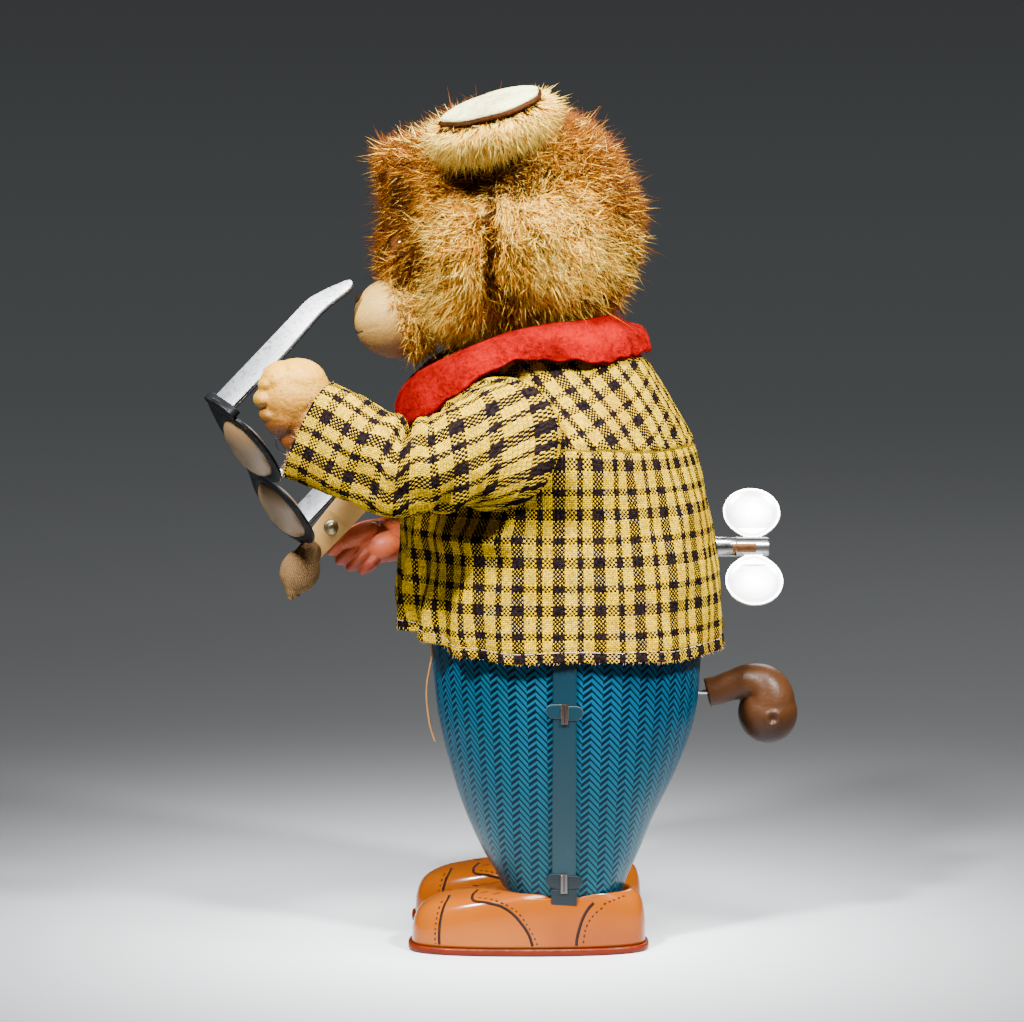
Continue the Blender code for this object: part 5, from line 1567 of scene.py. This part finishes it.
def left_hand():
    turn = lean("X", -25)
    hand = blob("left_mitten", [
        ((32.2, -71.8, 151.6), (9.6, 9.4, 10.4), turn),
        ((32.4, -70.6, 156.0), (8.8, 7.4, 5.8), lean("X", -6)),
        ((32.4, -75.4, 156.2), (8.0, 5.4, 4.9), lean("X", 20)),
        ((33.4, -73.6, 147.0), (7.4, 6.6, 6.8), turn),
        ((32.6, -78.6, 155.2), (6.6, 3.0, 2.5), lean("X", 24)),
        ((33.0, -79.6, 151.2), (7.0, 3.2, 2.7), lean("X", 8)),
        ((33.2, -77.8, 147.0), (6.6, 3.4, 2.7), lean("X", -8)),
        ((33.6, -67.2, 145.4), (7.8, 7.8, 7.6), turn),
        ((34.0, -72.0, 140.6), (4.6, 3.6, 3.8), None),
    ], PALE_HAND, 0.4, 6)
    finish_piece(hand, "arms", "pale_hand_vinyl", "left_hand")
    loop = [(36.0, -74.0, 136.6), (36.4, -75.8, 137.6), (36.8, -76.6, 139.6), (36.8, -76.0, 141.0),
            (36.6, -75.0, 139.4), (36.2, -73.6, 138.6)]
    thing = tube("cuff_thread_loop", loop, 0.14, DARK_VINYL, 5, 6)
    finish_piece(thing, "arms", "plaid_cotton")


def right_hand():
    lumps = [((-31.4, -55.0, 105.0), (6.6, 10.2, 6.4), lean("X", 22)),
             ((-33.0, -49.5, 106.0), (6.4, 7.0, 6.4), None)]
    for y, z, reach in ((-64.4, 103.8, 4.4), (-61.4, 101.6, 5.2), (-58.2, 99.9, 5.4), (-55.0, 98.8, 5.2)):
        lumps.append(((-27.4, y + 1.6, z + 1.6), (3.6, 2.15, reach), lean("X", -48)))
    lumps.append(((-26.4, -57.6, 107.8), (3.2, 6.6, 2.9), lean("X", 30)))
    lumps.append(((-27.0, -50.2, 104.4), (3.4, 5.2, 4.2), lean("X", 10)))
    hand = blob("right_fist", lumps, RED_HAND, 0.35, 1)
    finish_piece(hand, "right_hand", "red_hand_vinyl", "right_hand")


HINGE = Vector((25.0, -92.1, 148.2))
ACROSS = Vector((-0.7441, 0.2486, -0.6196))
TEMPLE_DIRECTION = Vector((-0.3422, 0.6546, 0.6736))
UPWARD = TEMPLE_DIRECTION.cross(ACROSS).normalized()
SPECTACLE_WIDTH = 62.0
RING_RADII, RING_CENTRES, RIM = (14.0, 9.8), ((15.5, -4.8), (46.5, -4.8)), 2.8
SPECTACLE_AXES = np.array((ACROSS, UPWARD, -TEMPLE_DIRECTION))


def on_spectacles(points):
    """Points given across, up and forward of the spectacles' left hinge."""
    return np.array(HINGE) + np.asarray(points, float) @ SPECTACLE_AXES


def seat(origin, right, up, out):
    """The matrix that puts a flat piece's own axes at a point of the body, along three directions."""
    return Matrix.Translation(Vector(place(origin))) @ Matrix((right, up, out)).transposed().to_4x4()


def rim_line(radii, count=120):
    a = round_angles(count)
    lift = 1.0 + 0.10 * np.abs(np.cos(a)) * np.maximum(np.sin(a), 0)
    return np.stack([radii[0] * np.cos(a) * lift, radii[1] * np.sin(a) * lift], -1)


def spectacles():
    made = []
    profile = [(-0.4, 0.0), (-0.25, 0.42), (0.35, 0.62), (1.4, 0.66), (2.5, 0.6), (3.0, 0.3), (3.0, -0.3),
               (2.5, -0.6),
               (1.4, -0.66), (0.35, -0.62), (-0.25, -0.42)]
    for w, h in RING_CENTRES:
        rows = []
        for inset, forward in profile:
            line = rim_line((RING_RADII[0] + 0.4 - inset, RING_RADII[1] + 0.4 - inset))
            rows.append(np.column_stack([line + (w, h), np.full(len(line), forward)]))
        rings = np.array(rows).transpose(1, 0, 2)
        count, sides = rings.shape[:2]
        i, j = cells(count, sides)
        n, m = (i + 1) % count, (j + 1) % sides
        faces = np.stack([i * sides + j, n * sides + j, n * sides + m, i * sides + m], 1)
        made.append(mesh_object("rim", on_spectacles(rings.reshape(-1, 3)), faces, BLACK_TIN))
    base = seat(HINGE, ACROSS, UPWARD, -TEMPLE_DIRECTION)
    brow = smooth_outline([(-1.0, -4.6), (1.6, -2.6), (6.0, 1.2), (15.5, 2.6), (25.0, 0.0), (31.0, -1.6),
                           (37.0, 0.0), (46.5, 2.6),
                           (56.0, 1.2), (60.4, -2.6), (63.0, -4.6), (64.0, -1.0), (63.4, 3.2), (60.4, 5.2),
                           (46.5, 6.2), (31.0, 3.4), (15.5, 6.2),
                           (1.6, 5.2), (-1.4, 3.2), (-2.0, -1.0)], 6)
    made.append(plate("brow", brow, 1.2, BLACK_TIN, base, 0.3))
    for w in (0.0, SPECTACLE_WIDTH):
        tab = seat(HINGE + ACROSS * w, ACROSS, UPWARD, -TEMPLE_DIRECTION)
        ear = smooth_outline([(-1.2, -5.0), (1.0, -5.4), (1.3, 0.0), (1.0, 4.6), (-1.2, 5.2), (-1.7, 0.0)], 6)
        made.append(plate("ear_tab", ear, 2.6, BLACK_TIN, tab @ Matrix.Translation((0, 0, -0.0006)), 0.3))
    thing = join("spectacle_rims", made, sharp=45)
    finish_piece(thing, "arms", "black_tin", "spectacle_frame")

    clips = []
    for w, h in ((28.0, -9.5), (59.2, -9.0)):
        run = [on_spectacles((w, h + 0.4, -0.6)), on_spectacles((w + 0.4, h + 0.2, -1.9)),
               on_spectacles((w - 0.6, h, -2.7)),
               on_spectacles((w - 1.8, h - 0.2, -2.4))]
        clips.append(tube("clip", run, 0.55, KEY_TIN, 5, 8))
    finish_piece(join("lens_clips", clips), "arms", "steel")

    rows, columns = 34, 110
    inner = (RING_RADII[0] - RIM + 0.5, RING_RADII[1] - RIM + 0.5)
    for (side, _), (w, h) in zip(SIDES, RING_CENTRES):
        r = np.sin(np.linspace(0.002, math.pi / 2, rows))[:, None]
        a = round_angles(columns)
        dome = 4.0 * np.sqrt(np.maximum(1 - r ** 3.0, 0)) - 0.2
        line = rim_line(inner, columns)
        P = np.stack([w + line[:, 0] * r, h + line[:, 1] * r, dome + 0 * a], -1)
        front = walled("lens_front", on_spectacles(P), 0.6, LENS)
        hollow = -3.2 * np.sqrt(np.maximum(1 - r ** 2.4, 0)) + 0.1
        P = np.stack([w + line[:, 0] * r * 0.97, h + line[:, 1] * r * 0.97, hollow + 0 * a], -1)
        rear = walled("lens_rear", on_spectacles(P), 0.5, LENS_BACK, flip=True)
        thing = join(f"{side}_lens_shell", [front, rear])
        finish_piece(thing, "arms", "cream_lens", f"{side}_lens")

    outline = [(-3.4, 0.2), (3.4, 0.2), (3.5, 20.0), (3.7, 38.2), (3.3, 40.4), (1.3, 45.0), (-1.1, 49.2),
               (-1.8, 50.1), (-2.6, 50.4),
               (-3.4, 50.0), (-4.0, 48.6), (-3.9, 47.2), (-2.7, 41.2), (-2.4, 37.6), (-3.0, 28.0),
               (-3.4, 22.0)]
    for side, w in (("left", 0.0), ("right", SPECTACLE_WIDTH)):
        base = seat(HINGE + ACROSS * w + UPWARD * 0.2, UPWARD, TEMPLE_DIRECTION, -ACROSS)
        bar = plate("temple_bar", outline, 0.9, TEMPLE_TIN, base, 0.2)
        edge = [(u + math.copysign(0.35, u), v) for u, v in outline]
        behind = base @ Matrix.Translation((0, 0, -0.0005))
        dark_back = plate("temple_edge", edge, 0.5, BLACK_TIN, behind, 0.1)
        finish_piece(join(f"{side}_temple_arm", [bar, dark_back]), "arms", "tin_plate", f"{side}_temple")


def polishing_cloth():
    """A flat cream strap from the right hand to a stuffed pad, with a rivet."""
    along = Vector((0, 0.655, 0.756))
    out = Vector((1, 0, 0))
    across = along.cross(out)
    middle = Vector((-20.2, -64.6, 111.0))
    rows = []
    for t, half in zip(np.linspace(-12.0, 13.0, 26),
                       np.interp(np.linspace(-12.0, 13.0, 26), [-12, -8, 0, 13], [2.6, 3.6, 4.0, 4.6])):
        sag = 0.5 * math.sin(t / 5.0)
        ring = []
        for c, o in ((-1, 0.35), (-0.96, 0.55), (0.96, 0.55), (1, 0.35), (1, -0.35), (0.96, -0.55),
                     (-0.96, -0.55), (-1, -0.35)):
            ring.append(np.array(middle + along * t + across * half * c + out * (o + sag)))
        rows.append(ring)
    strap = capped("strap", np.array(rows), STRAP)
    pad = blob("pad", [((-19.6, -73.4, 98.6), (4.4, 5.6, 6.4), lean("X", -22)),
                       ((-19.8, -71.0, 103.4), (3.0, 3.6, 4.0), lean("X", -30)),
                       ((-19.4, -75.4, 93.4), (2.0, 2.2, 2.4), None)], PAD, 0.45, 8)
    frill = blob("tip", [((-19.4, -75.8, 91.6), (0.9, 1.0, 1.3), lean("X", -20)),
                         ((-19.4, -74.2, 92.0), (0.8, 0.9, 1.0), None)], PAD, 0.3, 2)
    thing = join("polishing_pad", [strap, pad, frill], sharp=50)
    finish_piece(thing, "right_hand", "cream_felt", "polishing_cloth")
    a = round_angles(40)
    profile = [(2.0, -0.4), (2.1, 0.2), (2.0, 0.45), (1.6, 0.62), (1.5, 0.66), (1.4, 0.9), (1.0, 1.25),
               (0.5, 1.42), (0.05, 1.46)]
    rings = [np.stack([np.full(40, -19.55 + h), -64.6 + r * np.cos(a), 111.0 + r * np.sin(a)], -1) for r,
             h in profile]
    thing = capped("strap_rivet", np.array(rings), BRASS)
    finish_piece(thing, "right_hand", "brass", "cloth_rivet")


# ---------------------------------------------------------------- key and tail

KEY_Z, KEY_TILT = 107.7, math.radians(40)
WING_RADIUS, WING_CENTRE, WINDOW_RADIUS = 7.85, 11.3, 2.86


def winding_key():
    """A folded tin shank with a window, and two round dished wings."""
    away = np.array((-math.sin(KEY_TILT), 0, math.cos(KEY_TILT)))
    facing = np.array((math.cos(KEY_TILT), 0, math.sin(KEY_TILT)))
    ahead = np.array((0, 1.0, 0))
    middle = np.array((0, 52.2, KEY_Z))
    made = []
    for sign in (1, -1):
        rows, columns = 22, 72
        r = np.linspace(0.02, 1, rows)[:, None]
        a = round_angles(columns)
        waist = 1 + 0.10 * hill(a - math.pi, 0.5) * r
        along = WING_CENTRE + WING_RADIUS * r * np.cos(a) * waist
        side = WING_RADIUS * r * np.sin(a)
        dish = 0.45 - 0.9 * (1 - r ** 2) + 0.18 * hill(r - 0.9, 0.09) + 0 * a
        P = middle + along[..., None] * away * sign + side[..., None] * ahead + dish[..., None] * facing
        made.append(walled("wing", P, 0.55, KEY_TIN, flip=sign < 0))
        neck = [[middle + away * sign * t + ahead * half * c + facing * o for c, o in
                 ((-1, 0.32), (0, 0.36), (1, 0.32), (1, -0.32), (0, -0.36), (-1, -0.32))]
                for t, half in zip(np.linspace(2.2, 6.0, 8), (2.9, 2.6, 2.4, 2.4, 2.6, 3.0, 3.8, 4.6))]
        made.append(capped("neck", np.array(neck), KEY_TIN, flip=sign > 0))
    profile = [(1.95, 41.4), (2.75, 41.4), (2.85, 42.0), (2.75, 42.8), (2.7, 47.2), (2.9, 47.6), (2.7, 48.0),
               (2.7, 56.0), (2.5, 56.5), (1.0, 56.6)]
    a = round_angles(48)
    rings = [np.stack([r * np.cos(a), np.full(48, y), KEY_Z + r * np.sin(a)], -1) for r, y in profile]
    made.append(capped("shank", np.array(rings), BARREL, flip=True))
    a = np.linspace(-0.46, 0.46, 9)
    rows = [np.stack([WINDOW_RADIUS * np.cos(a), np.full(9, y), KEY_Z + WINDOW_RADIUS * np.sin(a)], -1)
            for y in np.linspace(46.6, 53.0, 6)]
    made.append(walled("window", np.array(rows), 0.3, COPPER, wrap=False, flip=True))
    thing = join("key_with_wings", made, sharp=45)
    finish_piece(thing, "key", "key_tin", "winding_key")


def tail():
    knots = [(0, 39.8, 67.1), (0, 43.4, 68.0), (0, 47.4, 69.4), (0, 51.4, 70.3), (0, 54.8, 69.0),
             (0, 56.6, 65.8), (0, 56.6, 61.6)]
    t = np.arange(len(knots))
    at = np.linspace(0, len(knots) - 1, 60)
    path = through(t, knots, at)
    radii = through(t, [4.15, 4.10, 4.3, 5.0, 6.4, 7.3, 7.5], at)
    directions = np.gradient(path, axis=0)
    rings = []
    a = round_angles(64)
    for point, direction, r in zip(path, directions, radii):
        direction = direction / np.linalg.norm(direction)
        side = np.array((1.0, 0, 0))
        other = np.cross(direction, side)
        rings.append(point + r * (np.outer(np.cos(a), side) + np.outer(np.sin(a), other)))
    bowl = np.array(knots[-1]) + ball(np.linspace(0.02, math.pi - 0.02, 60)[::-1], a) * (7.8, 8.2, 8.5)
    parts = [capped("stem", np.array(rings), TAIL_BROWN), capped("bowl", bowl, TAIL_BROWN)]
    both = run_together(join("tail_pipe", parts), TAIL_BROWN, 0.4, 6)
    co = np.array([v.co for v in both.data.vertices]) / MM
    co[:, 1] -= BODY_TO_WORLD_Y
    for sign in (1, -1):
        spot = np.array((sign * 7.6, 57.6, 61.0))
        distance = np.linalg.norm(co - spot, axis=1)
        co[:, 0] -= sign * (0.9 * hill(distance, 0.9) - 0.35 * hill(distance - 1.9, 0.6))
    mouth = (co[:, 1] < 40.6) & (np.hypot(co[:, 0], co[:, 2] - 67.2) < 2.9)
    co[:, 1] += np.where(mouth, 3.5, 0.0)
    both.data.vertices.foreach_set("co", place(co).ravel())
    finish_piece(both, "tail", "brown_vinyl", "tail")


# ---------------------------------------------------------------- build

loose_thread()
generator = np.random.default_rng(5)
trousers()
seam_strips()
shoes()
jacket_points, jacket_hem, jacket_round, jacket_piece = jacket()
hem_stitches(jacket_points, jacket_hem)
edge_x, edge_y, _ = jacket_points[0].T
hem_out = unit(np.stack([edge_x * 0.2, edge_y * 0.2, np.full(len(edge_x), -12.0)], -1))
fray = frayed("hem_fray", jacket_points[0], hem_out, "root", THREAD, generator, 300, 0.9)
round(jacket_round * MM, 4)
sleeve("left", LEFT_SLEEVE, 1, generator)
sleeve("right", RIGHT_SLEEVE, -1, generator)
collar(generator)
head_skin()
head_fur(generator)
muzzle_fur(generator)
ears(generator)
face()
left_hand()
right_hand()
spectacles()
polishing_cloth()
winding_key()
tail()


# ---------------------------------------------------------------- studio

FLOOR_RADIUS, AIMED_AT = 6.0, Vector((0, 0, 0.11))
LIGHTS = (  # name, place in metres, size, power
    ("left_front_light", (0.98, -0.62, 1.26), 0.18, 116.0),
    ("right_front_light", (0.92, 0.88, 1.14), 0.20, 104.0),
    ("top_light", (0.42, 0.10, 1.32), 0.45, 50.0),
    ("back_fill", (-1.15, 0.35, 0.85), 0.6, 9.0),
)


def studio():
    """A floor with a painted pool of light, pale near the toy and darkening with distance, with a painted
    glow further out for the dark grey backdrop; lit from both sides of the camera.
    """
    look = Finish("studio_floor", roughness=0.8, Specular_IOR_Level=0.2)
    x, y, _ = look.axes()
    distance = look.math("SQRT", x * x + y * y)
    # Painted pool of light: the floor's colour falls from pale near the toy to near black with distance.
    near = look.math("POWER", 2.5e-6, look.math("MAXIMUM", distance - 0.05, 0.0))
    look.set("Base Color", look.mix(near, (0.001, 0.001, 0.001), (0.56, 0.575, 0.595)))
    # Painted light: further out the floor glows faintly, standing for the dark grey backdrop.
    painted_backdrop_glow = look.mix(look.step(distance, 0.12, 0.50), (0.0, 0.0, 0.0), (0.052, 0.056, 0.058))
    look.set("Emission Color", painted_backdrop_glow)
    look.set("Emission Strength", 1.0)
    bpy.ops.mesh.primitive_circle_add(vertices=96, radius=FLOOR_RADIUS, fill_type="NGON", location=(0, 0, 0))
    floor = bpy.context.active_object
    floor.name = "studio_floor"
    floor.data.materials.append(look.material)
    world = bpy.data.worlds.new("studio_world")
    bpy.context.scene.world = world
    world.use_nodes = True
    sky = Finish.__new__(Finish)
    sky.tree = world.node_tree
    up = sky.axes(sky.coordinates("Generated"))[2]
    rise = sky.node("ShaderNodeMapRange", 0, {"Value": up, "From Min": -0.035, "From Max": 0.03})
    colour = sky.mix(rise, (0.0564, 0.0606, 0.0627), (0.040, 0.042, 0.043))
    sky.feed(sky.tree.nodes["Background"].inputs[0], colour)
    for name, where, size, power in LIGHTS:
        lamp = bpy.data.lights.new(name, "AREA")
        lamp.shape, lamp.size, lamp.energy = "DISK", size, power
        holder = shown(name, lamp)
        holder.location = where
        aim(holder, AIMED_AT - Vector(where))


studio()
